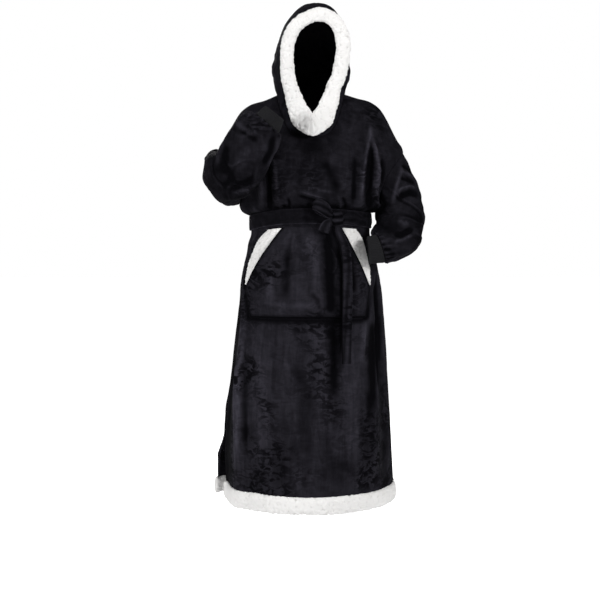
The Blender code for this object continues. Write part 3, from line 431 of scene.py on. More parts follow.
ARMHOLE_ROWS = ARMHOLE_ROW - np.cos(np.linspace(0, np.pi, ARMHOLE_STEPS + 1))
PANEL_ROWS = np.concatenate([
    np.linspace(0, 6, 51)[:-1],
    ARMHOLE_ROWS,
    np.linspace(8, 11, 29)[1:],
    np.linspace(11, HEM_ROW, 149)[1:],
])
BODY_CREASES = {
    "front": (
        ((178, -62, 164, -155, 151, -218, 143, -336), 10, 6.5),
        ((176, -130, 170, -230, 168, -336), 13, -9.5),
        ((166, -85, 180, -130, 198, -215, 190, -272, 196, -336), 9, 6),
        ((206, -160, 212, -240, 208, -320), 11, -6),
        ((258, -178, 240, -250, 224, -316), 9, 5),
        ((128, -150, 126, -220, 124, -330), 12, -3),
        ((-130, -175, -121, -240, -116, -334), 10, -10),
        ((-106, -180, -98, -260, -96, -334), 10, 4),
        ((-150, -190, -143, -260, -140, -330), 12, 4),
        ((-40, -287, 0, -300, 50, -314), 7, -3.6),
        ((-34, -276, 6, -288, 52, -302), 6, 3),
        ((-18, -262, 30, -276, 76, -280), 8, 2.2),
        ((-66, -290, -60, -312, -64, -334), 7, -3),
        ((92, -290, 100, -312, 98, -334), 7, -3.2),
        ((78, -284, 86, -310, 82, -334), 6, 2.8),
        ((30, -170, 60, -230, 86, -285), 22, -2),
        ((163, -560, 153, -690, 147, -790), 12, 5.5),
        ((56, -560, 62, -720, 72, -900), 32, -4),
        ((190, -540, 188, -720, 176, -980), 30, -5),
        ((20, -620, 36, -780, 40, -1000), 40, 1.8),
        ((-50, -720, -20, -860, -10, -1050), 34, -1.8),
        ((-140, -640, -150, -860, -140, -1100), 45, 2.2),
        ((110, -660, 122, -820, 120, -1080), 36, 2.2),
        ((-212, -660, -214, -900, -214, -1130), 13, 5.5),
        ((-192, -690, -192, -900, -190, -1100), 14, -3),
    ),
    "back": (
        ((40, -60, 30, -160, 20, -320), 20, -5),
        ((-90, -80, -80, -200, -50, -320), 16, 5),
        ((120, -90, 110, -200, 80, -320), 16, -5),
        ((-150, -120, -145, -220, -120, -320), 14, -6),
        ((-30, -265, 30, -290, 90, -295), 10, 3.2),
        ((20, -430, 30, -700, 40, -1110), 20, 6.5),
        ((-60, -430, -80, -700, -90, -1110), 18, -7),
        ((130, -440, 150, -700, 170, -1110), 20, -6),
    ),
    "left": (
        ((20, -460, 50, -700, 60, -900), 20, 6),
        ((-50, -480, -60, -660, -70, -880), 18, -6),
    ),
    "right": (
        ((30, -470, 60, -700, 70, -900), 20, -6),
        ((-60, -500, -80, -800, -90, -1080), 20, 5),
    ),
}
BODY_PUFFS = {                 # where slack cloth hangs over the belt
    "left": (
        ((-120, -306, 0, -312, 110, -306), 36, 12),
    ),
    "right": (
        ((-120, -318, 0, -324, 110, -318), 34, 13),
    ),
}
PAINTED_PANEL_SHADE = {               # painted shadow and shade: beside the pocket's sewn edge, beside the belt's long end, in troughs
    "front": (
        ((-191, -500, -189, -550, -180, -645, -170, -646, 150, -647, 164, -640, 174, -567, 174, -520),
         12.5, -8),
        ((66, -370, 80, -450, 87.5, -500, 88.5, -620, 90.5, -800), 10, -4.8),
        ((172, -115, 168, -230, 166, -338), 21, -3.6),
        ((-128, -175, -120, -240, -116, -334), 15, -2.8),
        ((210, -600, 202, -780, 192, -960), 26, -2),
    ),
}


def belt_pleats(row, bearing):
    """Small pleats that the belt gathers: humps and hollows at random bearings that fade away from it."""
    draw = np.random.default_rng(11)
    rise = np.zeros(np.broadcast(row, bearing).shape)
    for _ in range(74):
        middle, half = draw.uniform(-180, 180), draw.uniform(2.2, 5.0)
        lean, reach, height = draw.uniform(-4, 4), draw.uniform(1.0, 2.6), draw.uniform(-0.0042, 0.0036)
        above = draw.uniform() < 0.55 or abs(middle) < POCKET_BEARING
        off = np.clip(10.0 - row, 0, None) if above else np.clip(row - 11.0, 0, None) * 1.6
        on = (row < 10.0) if above else (row > 11.0)
        aside = signed(bearing - middle - lean * off)
        fade = limit(off / 0.5) * limit(1 - off / reach)
        rise = rise + np.where(on, height * fade * bump(aside, half), 0)
    return rise


def seam_dip(from_edge, depth=0.0012, width=0.006):
    """How far cloth is drawn in beside a seam, at a distance from it."""
    return -depth * limit(1 - from_edge / width) ** 2


def crumple(points, size, seed):
    """Thin ridges with a hollow beside them, in patches: humps over the zero lines of an uneven field."""
    field = wander(points, size, seed)
    patch = limit(wander(points, 2.2 * size, seed + 1) * 1.5 + 0.35)
    return (bump(field, 0.16) - 0.8 * bump(field - 0.28, 0.28)) * patch


def dressed(points, normals, strokes, seed, crumpled=0.0008):
    """How far the creases, the crumpling and the slight unevenness of a thick pile lift a cloth surface."""
    uneven = 0.0011 * wander(points, 0.055, seed) + 0.0005 * wander(points, 0.018, seed + 1)
    return creases(points, normals, strokes) * 1.25 + crumpled * crumple(points, 0.080, seed + 7) + uneven


def panel(node, middle, columns, seed):
    """A body panel between its seams, with its creases, pleats and drawn-in seams. Its pile gets painted
    shade by the belt, under the neckline's point, behind the fold on the wearer's right and all over above
    the belt, with a painted highlight along that fold's edge, and is darker with crushed pile in places low
    on the skirt."""
    row = PANEL_ROWS[:, None]
    half = panel_half(row)
    across = np.linspace(-1, 1, columns + 1)[None, :]
    bearing = middle + half * across
    round_here = signed(bearing)
    skin = body_skin(row, bearing)
    normals = body_normals(row, bearing)
    ring = body_ring(row)
    from_seam = np.radians(half * (1 - np.abs(across))) * 0.5 * (ring.x_right - ring.x_left)
    sewn = limit(from_seam / 0.03) * limit(row / 0.8) * limit((HEM_ROW - row) / 0.3)
    off_belt = limit((np.abs(row - BELT_ROW) - 0.5) / 0.5)
    beside = limit((np.abs(round_here) - POCKET_BEARING) / 6)
    below = limit((-0.645 - skin[..., 2]) / 0.03)
    free = sewn * off_belt * np.where(row > 10, np.maximum(beside, below), 1.0)
    lift = (dressed(skin, normals, BODY_CREASES, seed) + belt_pleats(row, bearing)) * free
    sewn_in = seam_dip(from_seam) * (row <= VENT_ROW)
    from_point = np.hypot(skin[..., 0] - 0.012, skin[..., 2] + 0.120)
    on_skirt = limit((row - 12.0) / 1.5)
    behind_fold = limit((-60 - round_here) / 7) * (round_here > -110) * on_skirt
    low = bump(skin[..., 2] + 1.03, 0.15) * limit(wander(skin, 0.11, seed + 3) + 0.35)
    # painted shade by the belt, under the neckline's point and behind the fold on the wearer's right, less a
    # painted highlight along that fold's edge; low is darker crushed pile
    painted_shading_and_crush = (0.18 * bump(row - 10.1, 1.6) + 0.14 * bump(from_point, 0.10) * (skin[..., 1] < 0)
            + 0.20 * behind_fold + 0.24 * low - 0.14 * bump(round_here + 57.5, 3.0) * on_skirt)
    # painted highlight on raised folds and painted shade in hollows, in the listed shade strokes and in
    # drawn-in seams; the lower base above the belt is painted shade on the upper body
    painted_fold_shading = (lift + creases(skin, normals, PAINTED_PANEL_SHADE)) * FOLD_PAINTED_SHADING + fold_rise(row, bearing) * 14
    relief_shading = np.where(row < BELT_ROW, 0.235, 0.39) - painted_shading_and_crush + painted_fold_shading + sewn_in * SEAM_PAINTED_SHADE
    slack = creases(skin, normals, BODY_PUFFS) * free
    outer = moved(skin, normals, lift + sewn_in + slack)
    folded = grid_normals(outer, closed=False)
    inner = outer - FLEECE_THICK * folded * np.sign(np.sum(folded * normals))
    return cloth_piece(node, outer, inner, FLEECE, relief_shading=relief_shading)


FLEECE = fleece_finish(), "black_fleece", "_fleece"

front_panel = panel("front_panel", 0.0, 150, 3)
back_panel = panel("back_panel", 180.0, 130, 5)


# Sleeves
# Two wide tubes of the same fleece, sewn round the armholes and gathered on to the cuffs, so that they
# hang full over the bent arms.

RAISED_SLEEVE = metres((       # top point, foot point, reach aside, that side's bearing in plan, wave
    (-281, -36, -151, -232, -42, -316, 79, 118, 0),
    (-282, -82, -156, -246, -88, -311, 55, 148, 0),
    (-276, -125, -164, -250, -131, -306, 44, 180, 0),
    (-271, -160, -170, -234, -168, -306, 46, 210, 1),
    (-265, -188, -176, -194, -196, -300, 52, 240, 2),
    (-250, -206, -149, -134, -208, -244, 59, 258, 2),
    (-222, -222, -108, -103, -224, -184, 62, 264, 3),
    (-196, -235, -74, -83, -237, -142, 63, 268, 4),
    (-174, -243, -62, -83, -244, -127, 53, 270, 4),
    (-153.5, -248, -65.5, -90, -248, -118, 42.5, 270, 1),
), plain=(7,))
LOWERED_SLEEVE = metres((
    (296, -2, -202, 207, -10, -338, 88, -90, 0),
    (315, -14, -248, 206, -24, -351, 78, -88, 0),
    (328, -34, -292, 206, -42, -363, 70, -84, 1),
    (332, -54, -334, 205, -62, -373, 65, -78, 1),
    (327, -74, -378, 203, -82, -380, 62, -70, 2),
    (317, -94, -420, 201, -100, -386, 60, -64, 2),
    (298, -112, -450, 198, -114, -391, 58, -62, 3),
    (266, -126, -467, 195, -126, -394, 55, -66, 4),
    (236, -135, -477, 192, -134, -396, 50, -74, 4),
    (213, -140, -481.5, 189, -140, -400, 42.5, -84, 1),
), plain=(7,))
RAISED_CREASES = {
    "front": (
        ((-88, -128, -98, -176, -124, -222), 9, 5),
        ((-100, -120, -114, -172, -140, -216), 14, -3),
        ((-215, -80, -186, -108, -150, -130), 10, 3.6),
        ((-200, -106, -176, -124, -140, -146), 14, -2.6),
        ((-230, -292, -184, -276, -140, -256), 11, 3.6),
        ((-234, -270, -188, -258, -150, -236), 16, -2.8),
        ((-246, -130, -256, -172, -266, -214), 10, 3),
        ((-234, -140, -240, -190, -240, -240), 20, -2.4),
        ((-160, -150, -190, -190, -212, -236), 26, 2.2),
    ),
    "right": (
        ((-60, -180, -100, -200, -150, -205), 24, -3),
        ((-50, -230, -110, -245, -170, -240), 24, 2.8),
        ((-60, -275, -110, -288, -160, -282), 20, -2.5),
    ),
    "back": (
        ((-285, -180, -260, -220, -250, -280), 16, -4),
        ((-235, -110, -200, -120, -160, -150), 14, 4),
    ),
}
LOWERED_CREASES = {
    "front": (
        ((262, -196, 286, -206, 304, -222), 8, -4),
        ((256, -214, 282, -222, 308, -236), 7, 4),
        ((256, -234, 284, -240, 312, -250), 9, -4),
        ((248, -290, 262, -268, 288, -260, 316, -268), 8, 5),
        ((252, -306, 268, -286, 292, -278, 318, -286), 12, -5.5),
        ((270, -190, 252, -250, 234, -320), 11, 4.5),
        ((250, -360, 270, -372, 286, -362), 12, 3.5),
        ((232, -420, 262, -418, 300, -398), 8, 4.5),
        ((236, -402, 262, -400, 298, -380), 12, -4.5),
    ),
    "left": (
        ((-60, -240, 0, -250, 60, -240), 26, 2.2),
        ((-90, -300, -30, -305, 40, -290), 26, -2.2),
        ((-110, -350, -50, -360, 0, -350), 26, 2.2),
        ((-130, -400, -80, -405, -30, -400), 20, -2.2),
    ),
    "back": (
        ((300, -230, 285, -300, 270, -360), 16, 4.5),
        ((250, -260, 280, -300, 320, -320), 13, -4.5),
        ((240, -380, 275, -400, 310, -400), 14, 4.5),
    ),
}
SLEEVE_PUFFS = {               # where the lowered sleeve sags towards the waist
    "right": (
        ((40, -310, -10, -335, -60, -362, -115, -388, -150, -394), 44, 15.5),
    ),
}
SLEEVE_END, GATHERS = 10, 34   # the station of a sleeve's last ring, and the pleats round its cuff


def armhole_edge(side):
    """The armhole's outline as the body has it: outer points and normals, from the top down the front
    edge and up the back edge. side is 1 for the wearer's left and -1 for the right."""
    down, up = ARMHOLE_ROWS[:-1], ARMHOLE_ROWS[:0:-1]
    row = np.concatenate([down, up])
    angle = ARMHOLE_SPREAD * np.sqrt(limit(1 - (row - ARMHOLE_ROW) ** 2))
    bearing = side * (90 - np.concatenate([angle[:len(down)], -angle[len(down):]]))
    return body_skin(row, bearing), body_normals(row, bearing)


def rings_through(stations, at, side, waves, around):
    """Rings of a tube that glides through the stations: middle + cos(turn) * half the way from foot to top
    + sin(turn) * reach * side's way, with waves. Returns the rings and their middles."""
    read = glide(np.arange(len(stations)), stations, at)
    top, foot = read[:, 0:3], read[:, 3:6]
    reach, bearing, wave = read[:, 6], np.radians(read[:, 7]), read[:, 8]
    middle, half = (top + foot) / 2, (top - foot) / 2
    sideways = np.stack([np.cos(bearing), np.sin(bearing), 0 * bearing], axis=-1)
    turn = np.linspace(0, 2 * np.pi, around, endpoint=False)[None, :, None]
    swell = 1 + (wave / reach)[:, None, None] * np.cos(waves * turn + 0.8)
    reach_way = (sideways * reach[:, None])[:, None, :] * side
    rings = middle[:, None, :] + swell * (np.cos(turn) * half[:, None, :] + np.sin(turn) * reach_way)
    return rings, middle


def outward(points, middles):
    """Normals of a closed grid of rings, turned to point away from the rings' middles."""
    normals = grid_normals(points, closed=True)
    return normals if np.sum(normals * (points - middles[:, None, :])) > 0 else -normals


def cuff_gathers(at, turn, seed):
    """Pleats where a sleeve is gathered on to its cuff: humps and hollows of uneven width and depth round the
    tube, that start at the cuff's seam and fade over one to three stations."""
    draw = np.random.default_rng(seed)
    rise = np.zeros(np.broadcast(at, turn).shape)
    for k in range(GATHERS):
        middle = 2 * np.pi * (k + draw.uniform(-0.3, 0.3)) / GATHERS
        reach, height = draw.uniform(1.0, 2.8), draw.uniform(0.0022, 0.0048) * (1 if k % 2 else -1)
        aside = (turn - middle + np.pi) % (2 * np.pi) - np.pi
        off = SLEEVE_END - at
        rise = rise + height * bump(aside, 0.16 + 0.05 * off) * limit(off / 0.25) * limit(1 - off / reach)
    return rise


def sleeve(node, stations, side, strokes, seed):
    """A sleeve whose first ring is the armhole's edge, moved off by the seam's gap. What sets the edge apart
    from a plain oval fades out along the tube."""
    edge, edge_normals = armhole_edge(side)
    quarter = ARMHOLE_STEPS // 2
    reach = 0.5 * np.linalg.norm(edge[quarter] - edge[-quarter])
    first = (*edge[0], *edge[ARMHOLE_STEPS], reach, 90.0 if side < 0 else -90.0, 0.0)
    at = np.linspace(0, SLEEVE_END, 190)
    points, middles = rings_through((first, *stations), at, side, 5, 2 * ARMHOLE_STEPS)
    keep = limit(1 - at / 2.5) ** 1.5
    points += keep[:, None, None] * (edge - points[0])
    normals = outward(points, middles)
    smooth = limit((np.sum(normals[0] * edge_normals, axis=-1) + 0.2) / 0.7)[:, None]
    normals[0] = unit(smooth * edge_normals + (1 - smooth) * normals[0])
    around = unit(np.roll(edge, -1, axis=0) - np.roll(edge, 1, axis=0))
    into_hole = np.cross(edge_normals, around)
    into_hole *= np.sign(np.sum(into_hole * (edge.mean(axis=0) - edge), axis=-1, keepdims=True))
    points[0] += SEAM_GAP * (smooth * into_hole + (1 - smooth) * edge_normals)
    turn = np.linspace(0, 2 * np.pi, 2 * ARMHOLE_STEPS, endpoint=False)[None, :]
    free = limit(at / 0.5)[:, None] * limit((SLEEVE_END - at) / 0.3)[:, None]
    lift = dressed(points, normals, strokes, seed, 0.0024) * free + cuff_gathers(at[:, None], turn, seed)
    sewn_in = seam_dip(at[:, None] * 0.05) + seam_dip((SLEEVE_END - at[:, None]) * 0.03, 0.0022)
    slack = creases(points, normals, SLEEVE_PUFFS) * free
    outer = moved(points, normals, lift + slack + sewn_in)
    outer_normals = outward(outer, middles)
    outer_normals[:3] = normals[:3]
    # painted shade round the elbow and painted light on the raised arm's forearm; then painted highlight on
    # raised creases and painted shade in hollows and drawn-in seams
    tone = 0.21 - 0.12 * bump(at - 4.8, 4.0) + (0.10 * bump(at - 8.4, 3.2) if side < 0 else 0)
    relief_shading = tone[:, None] + lift * FOLD_PAINTED_SHADING + sewn_in * SEAM_PAINTED_SHADE
    return cloth_piece(node, outer, outer - FLEECE_THICK * outer_normals, FLEECE, closed=True, relief_shading=relief_shading)


sleeve_raised = sleeve("sleeve_raised", RAISED_SLEEVE, -1, RAISED_CREASES, 21)
sleeve_lowered = sleeve("sleeve_lowered", LOWERED_SLEEVE, 1, LOWERED_CREASES, 22)


# Cuffs
# Snug tubes of black rib knit, doubled at the wrist, with the sleeve's gathers sewn on to them. The ribs
# run along the arm.

CUFF_THICK = 0.0035
CUFF_RIBS = 46
RAISED_CUFF = metres((
    (-153.3, -248, -65.2, -89.8, -248, -117.7, 41.5, 270, 0),
    (-144, -244, -56, -83.5, -244, -105, 39, 270, 0),
    (-135.5, -239.5, -48, -79, -239.5, -92.5, 36.5, 270, 0),
    (-127, -235, -40.5, -75, -235, -80, 34.5, 270, 0),
), plain=(7,))
LOWERED_CUFF = metres((
    (212, -140.5, -481.3, 187.8, -140.5, -400.2, 41.2, -84, 0),
    (197, -141.2, -481.8, 179, -141.2, -402.5, 40.5, -86, 0),
    (182, -142, -482.8, 170, -142, -404.5, 39.8, -88, 0),
    (167, -143, -484, 162, -143, -406, 39.3, -90, 0),
), plain=(7,))


def rib_knit_finish():
    """Black rib knit: rows of stitches across the ribs on the cloth's own map, with a lint of paler fibre."""
    finish, tree = new_finish("black_rib_knit")
    cloth = add_node(tree, "UVMap", uv_map="cloth").outputs["UV"]
    bands = {"Vector": cloth, "Scale": 160.0, "Distortion": 1.5, "Detail": 1.0, "Detail Scale": 3.0}
    stitches = add_node(tree, "TexWave", bands, wave_type="BANDS", bands_direction="Y").outputs["Fac"]
    lint = noise(tree, cloth, 700.0, 2.0)
    colour = blend(tree, lint, (0.005, 0.005, 0.006), (0.017, 0.017, 0.019))
    set_shader(tree, maths(tree, "MULTIPLY_ADD", lint, 0.5, stitches), 0.6, 0.0006, Base_Color=colour,
               Roughness=0.92, Specular_IOR_Level=0.10, Sheen_Weight=0.03, Sheen_Roughness=0.5)
    return finish


def cuff(node, stations, side):
    """A rib-knit tube: rings through its stations, raised by |cos| ribs round it and rounded at its mouth."""
    at = np.linspace(0, len(stations) - 1, 44)
    around = CUFF_RIBS * 8
    points, middles = rings_through(stations, at, side, 0, around)
    normals = outward(points, middles)
    turn = np.linspace(0, 2 * np.pi, around, endpoint=False)
    ribs = 0.0009 * np.abs(np.cos(turn * CUFF_RIBS / 2)) ** 0.8 - 0.0005
    mouth = -0.0014 * limit((at - at[-1] + 0.12) / 0.12) ** 2 - 0.0012 * limit(1 - at / 0.15)
    doubled = -0.0006 * bump(at - at[-1] + 0.5, 0.07)
    outer = moved(points, normals, ribs + (mouth + doubled)[:, None])
    inner = moved(points, -normals, CUFF_THICK + ribs * 0.5 + mouth[:, None])
    uv = np.stack(np.broadcast_arrays(turn[None, :] * 0.04, at[:, None] * 0.016), axis=-1)
    return cloth_piece(node, outer, inner, RIB_KNIT, closed=True, uv=uv)


RIB_KNIT = rib_knit_finish(), "black_rib", "_knit"
cuff_raised = cuff("cuff_raised", RAISED_CUFF, -1)
cuff_lowered = cuff("cuff_lowered", LOWERED_CUFF, 1)


# Hood
# Two halves of the same fleece, joined in a seam from the forehead over the crown to the nape, and sewn
# to the neckline.

HOOD_LINES = metres((          # share, edge half, y, z, brow half, y, z, nape out, up, shift, bearing
    (0, 0, -100, 243, 0, -15, 347, 90, 190, 26, 180),
    (0.06, 22, -100, 241.5, 27, -15, 342, 89, 186, 25, 174),
    (0.15, 50, -101, 230, 62, -15, 312, 85, 170, 22, 165),
    (0.3, 83, -104, 186, 102, -10, 230, 72, 140, 16, 148),
    (0.45, 93, -106, 130, 112, -10, 150, 48, 95, 12, 122),
    (0.6, 86, -106, 66, 103, -35, 80, 22, 55, 9, 93),
    (0.75, 66, -110, 4, 83, -80, 8, 10, 28, 5, 66),
    (0.9, 34, -130, -60, 46, -128, -64, 3, 12, 5.5, 36),
    (1, 0, -150, -92, 0, -152, -98, 0, 4, 5.5, 0),
), plain=(0, 10))
HOOD_CREASES = {
    "left": (
        ((20, 60, 60, 80, 85, 140), 16, -4),
        ((-40, 40, 0, 60, 30, 110), 14, 4),
    ),
    "right": (
        ((20, 50, 55, 80, 80, 130), 15, -4),
        ((-50, 50, -10, 70, 20, 120), 14, 4),
    ),
    "back": (
        ((-60, 50, 0, 40, 60, 50), 14, -4),
        ((-70, 90, 0, 78, 70, 85), 16, 4),
    ),
}


def hood_controls(bearing):
    """The hood's four control points for the line that ends on the neck seam at a bearing: the face edge,
    the brow, a point above and outside the seam, and the seam. shift turns the face to the wearer's left."""
    bearing = np.asarray(bearing, float)
    side = np.where(bearing < 0, -1.0, 1.0)
    lines = sorted((line[-1], line[0]) for line in HOOD_LINES)
    share = glide([b for b, _ in lines], [s for _, s in lines], np.abs(bearing))
    read = glide([line[0] for line in HOOD_LINES], [line[1:-1] for line in HOOD_LINES], share)
    shift = read[..., 8]
    edge = np.stack([side * read[..., 0] + shift, read[..., 1], read[..., 2]], axis=-1)
    brow = np.stack([side * read[..., 3] + shift * 0.4, read[..., 4], read[..., 5]], axis=-1)
    seam = body_skin(0.0, bearing)
    s, c = np.sin(np.radians(bearing)), np.cos(np.radians(bearing))
    nape = seam + np.stack([s * read[..., 6], -c * read[..., 6], read[..., 7]], axis=-1)
    return edge, brow, nape, seam


def hood_skin(step, bearing):
    """The hood's outer skin: a cubic Bezier curve over the line's control points, from the face edge at
    step 0 to the neck seam at step 1."""
    edge, brow, nape, seam = hood_controls(bearing)
    t = np.asarray(step, float)[..., None]
    return (1 - t) ** 3 * edge + 3 * t * (1 - t) ** 2 * brow + 3 * t * t * (1 - t) * nape + t ** 3 * seam


def hood_half(node, side, seed):
    """One side of the hood, between the centre seam and the neck seam, with its creases."""
    step = np.linspace(0, 1, 111)[:, None]
    bearing = side * np.linspace(0, 180, 150)[None, :]
    skin = hood_skin(step, bearing)
    normals = grid_normals(skin, closed=False)
    centre = np.array([0.0, 0.0, 0.10])
    if np.sum(normals * (skin - centre)) < 0:
        normals = -normals
    for column in (0, -1):
        along = np.gradient(skin[:, column], axis=0)
        across = unit(np.stack([0 * along[:, 0], -along[:, 2], along[:, 1]], axis=-1))
        normals[:, column] = across * np.sign(np.sum(across * (skin[:, column] - centre)))
    up = unit(body_skin(0.0, bearing[0]) - body_skin(0.12, bearing[0]))
    skin[-1] = body_skin(0.0, bearing[0]) + up * SEAM_GAP
    normals[-1] = body_normals(0.0, bearing[0])
    size = np.linalg.norm(skin[:, -1] - skin[:, -2], axis=-1)[:, None]
    column = np.arange(bearing.shape[1])[None, :]
    from_crown = (bearing.shape[1] - 1 - column) * size
    free = limit(from_crown / 0.03) * limit((1 - step) / 0.1) * limit(step / 0.1)
    lift = dressed(skin, normals, HOOD_CREASES, seed) * free
    sewn_in = seam_dip(from_crown) * limit(step / 0.05) + seam_dip((1 - step) * 0.25)
    outer = moved(skin, normals, lift + sewn_in)
    # painted highlight on raised creases, painted shade in hollows and drawn-in seams
    relief_shading = 0.24 + lift * FOLD_PAINTED_SHADING + sewn_in * SEAM_PAINTED_SHADE
    return cloth_piece(node, outer, outer - FLEECE_THICK * normals, FLEECE, relief_shading=relief_shading, lining=0.22)


hood_right = hood_half("hood_right", -1, 31)
hood_left = hood_half("hood_left", 1, 32)


# Hood trim
# A roll of white sherpa round the face, its curly pile outwards, mitred at the point of the neckline and
# closed in a butt seam over the forehead.

TRIM_HALF_WIDTH, TRIM_HALF_DEPTH = 0.0195, 0.0098
TRIM_BEARINGS = (20, 32, 44, 53, 62, 71, 80, 89, 100, 112, 124, 136, 147, 157, 166, 173)
TRIM_FOOT_Z = -0.1150
TRIM_RINGS = 620
TRIM_CORNERS = 72


def pillow_section(corners, half_a, half_b, power):
    """Points round a flattened oval, as (a, b) pairs: a superellipse of the two half sizes."""
    turn = np.linspace(0, 2 * np.pi, corners, endpoint=False)
    c, s = np.cos(turn), np.sin(turn)
    return half_a * np.sign(c) * np.abs(c) ** (2 / power), half_b * np.sign(s) * np.abs(s) ** (2 / power)


def curls(points, size, seed):
    """Height of sherpa's curls, from 0 in the partings to 1: one less the square of the distance to the
    nearest of a lattice of points that are moved at random by up to 0.4 of its cell."""
    scaled = points / size
    cell = np.floor(scaled)
    nearest = np.full(points.shape[:-1], 9.0)
    offsets = np.stack(np.meshgrid([-1, 0, 1], [-1, 0, 1], [-1, 0, 1]), axis=-1).reshape(-1, 3)
    mixing = np.array([[127.1, 311.7, 74.7], [269.5, 183.3, 246.1], [113.5, 271.9, 124.6]])
    for offset in offsets:
        here = cell + offset
        mixed = np.sin(here @ mixing.T + seed) * 43758.5453
        middle = here + 0.5 + 0.8 * (mixed - np.floor(mixed) - 0.5)
        nearest = np.minimum(nearest, np.linalg.norm(scaled - middle, axis=-1))
    return limit(1 - nearest ** 2)


def sherpa_pile(points, normals, seed, deep=1.0):
    """A surface covered in curls of about 10 mm with smaller ones on them, and the curls' height."""
    large = curls(points + 0.003 * wander(points, 0.02, seed)[..., None], 0.0105, seed)
    small = curls(points + 0.001 * wander(points, 0.006, seed)[..., None], 0.0042, seed + 5)
    height = 0.66 * large + 0.34 * small
    lift = deep * (0.0070 * (height - 0.50) + 0.0012 * wander(points, 0.045, seed + 9))
    return moved(points, normals, lift), height


def sherpa_finish():
    """White sherpa: a warm white on the curls, with painted shade that greys the partings between them, and
    fine fibres.
    """
    finish, tree = new_finish("white_sherpa_pile")
    place, tuft = place_and_painted_shading(tree)
    fibre = noise(tree, place, 520.0, 3.0, 0.7, 1.2)
    # painted shade: the lower a curl or fibre lies, the greyer its white, in the partings between curls
    depth = mapped(tree, maths(tree, "MULTIPLY_ADD", fibre, 0.35, tuft), 0.20, 0.85, kind="SMOOTHSTEP")
    colour = blend(tree, depth, (0.50, 0.49, 0.475), (0.84, 0.83, 0.82))
    set_shader(tree, fibre, 0.55, 0.0012, Base_Color=colour, Roughness=0.95, Specular_IOR_Level=0.2,
               Sheen_Weight=0.25, Sheen_Roughness=0.6)
    return finish


def trim_ring(bearing, corners):
    """The trim's section at a bearing: a superellipse laid along the way out from the opening. It is
    narrower over the wearer's right temple, and spreads at the point, where its two ends overlap."""
    ahead = hood_controls(bearing + 0.5)[0] - hood_controls(bearing - 0.5)[0]
    along = unit(ahead)
    forward = np.array([0.0, -1.0, 0.0])
    out = unit(np.cross(along, forward))
    edge = hood_controls(bearing)[0]
    if np.dot(out, edge - np.array([0.012, -0.11, 0.08])) < 0:
        out = -out
    forward = unit(forward - along * np.dot(forward, along))
    a, b = pillow_section(corners, TRIM_HALF_WIDTH, TRIM_HALF_DEPTH, 2.5)
    temple = limit((-bearing - 85) / 30) + 0.5 * limit((bearing - 140) / 20)
    point = limit((72 - abs(bearing)) / 40)
    a = a * (1 - 0.09 * temple) + 0.021 * point * limit(a / TRIM_HALF_WIDTH)
    inset = 0.0105 + 0.0030 * temple
    return edge - out * inset + forward * 0.0125 + np.outer(a, out) + np.outer(b, forward)


def sections(middle, ways, sizes):
    """Rings round the points of a middle line: each adds its sizes along two ways to its point."""
    (first, second), (a, b) = ways, sizes
    return middle[:, None, :] + a[..., None] * first + b[..., None] * second


def on_middle(last, before, plane):
    """A ring carried on, along the way from the one before it, to an upright plane across the width."""
    way = (last - before).mean(axis=0)
    return last + (plane - last[:, :1]) / way[0] * way


def round_rings(rings, count):
    """Rings of a closed roll, read between the given ones by a smooth curve that runs round."""
    padded = np.concatenate([rings[-3:], rings, rings[:4]])
    length = np.concatenate([[0], np.cumsum(np.linalg.norm(np.diff(padded.mean(axis=1), axis=0), axis=1))])
    start, end = length[3], length[3 + len(rings)]
    at = np.linspace(start, end, count, endpoint=False)
    return glide(length, padded.reshape(len(padded), -1), at).reshape(count, -1, 3)


def roll_piece(node, rings, cloth, relief_shading, closed=False):
    """A full solid through rings of points: each ring joins the next, and a closed one has no ends. The
    ends of an open one are rings drawn together."""
    count, around = rings.shape[:2]
    if closed:
        faces = grid_quads(count + 1, around, True) % (count * around)
    else:
        faces = grid_quads(count, around, True)
        k = np.arange(1, around // 2)
        for base, way in ((0, 1), ((count - 1) * around, -1)):
            cap = np.stack([base + k - 1, base + k, base + around - k - 1, base + around - k], axis=-1)
            faces = np.concatenate([faces, cap[:, ::-1 * way]])
    return make_piece(node, rings, faces, cloth, relief_shading=relief_shading)


def hood_trim():
    """The face trim as one closed roll, whose rings at the forehead and at the point lie on the middle."""
    left = [trim_ring(float(b), TRIM_CORNERS) for b in TRIM_BEARINGS]
    right = [trim_ring(-float(b), TRIM_CORNERS) for b in TRIM_BEARINGS]
    point = np.mean([on_middle(half[0], half[1], HOOD_LINES[-1][9]) for half in (left, right)], axis=0)
    brow = np.mean([on_middle(half[-1], half[-2], HOOD_LINES[0][9]) for half in (left, right)], axis=0)
    rings = np.array([point, *left, brow, *right[::-1]])
    low = rings[:, :, 2] < TRIM_FOOT_Z
    rings[:, :, 2][low] = TRIM_FOOT_Z + 0.12 * (rings[:, :, 2][low] - TRIM_FOOT_Z)
    rings = round_rings(rings, TRIM_RINGS)
    over_brow = bump(np.arange(TRIM_RINGS) - TRIM_RINGS / 2, 120)[:, None, None]
    for _ in range(60):
        beside = (np.roll(rings, 3, axis=0) + np.roll(rings, -3, axis=0)) / 2
        rings = rings + over_brow * 0.5 * (beside - rings)
    wrapped = np.concatenate([rings[-1:], rings, rings[:1]])
    middles = wrapped.mean(axis=1)
    normals = outward(wrapped, middles)[1:-1]
    pile, tuft = sherpa_pile(rings, normals, 41)
    # the curls' height is painted as shade in the partings by the sherpa finish
    return roll_piece("hood_trim", pile, SHERPA, tuft, closed=True)


SHERPA = sherpa_finish(), "white_sherpa", "_pile"
hood_roll = hood_trim()


# Hem bands
# Bands of the same sherpa, folded double and sewn below each panel, as long as the panel's hem. They end
# at the side vents.

HEM_HALF_HEIGHT, HEM_HALF_THICK = 0.0250, 0.0080


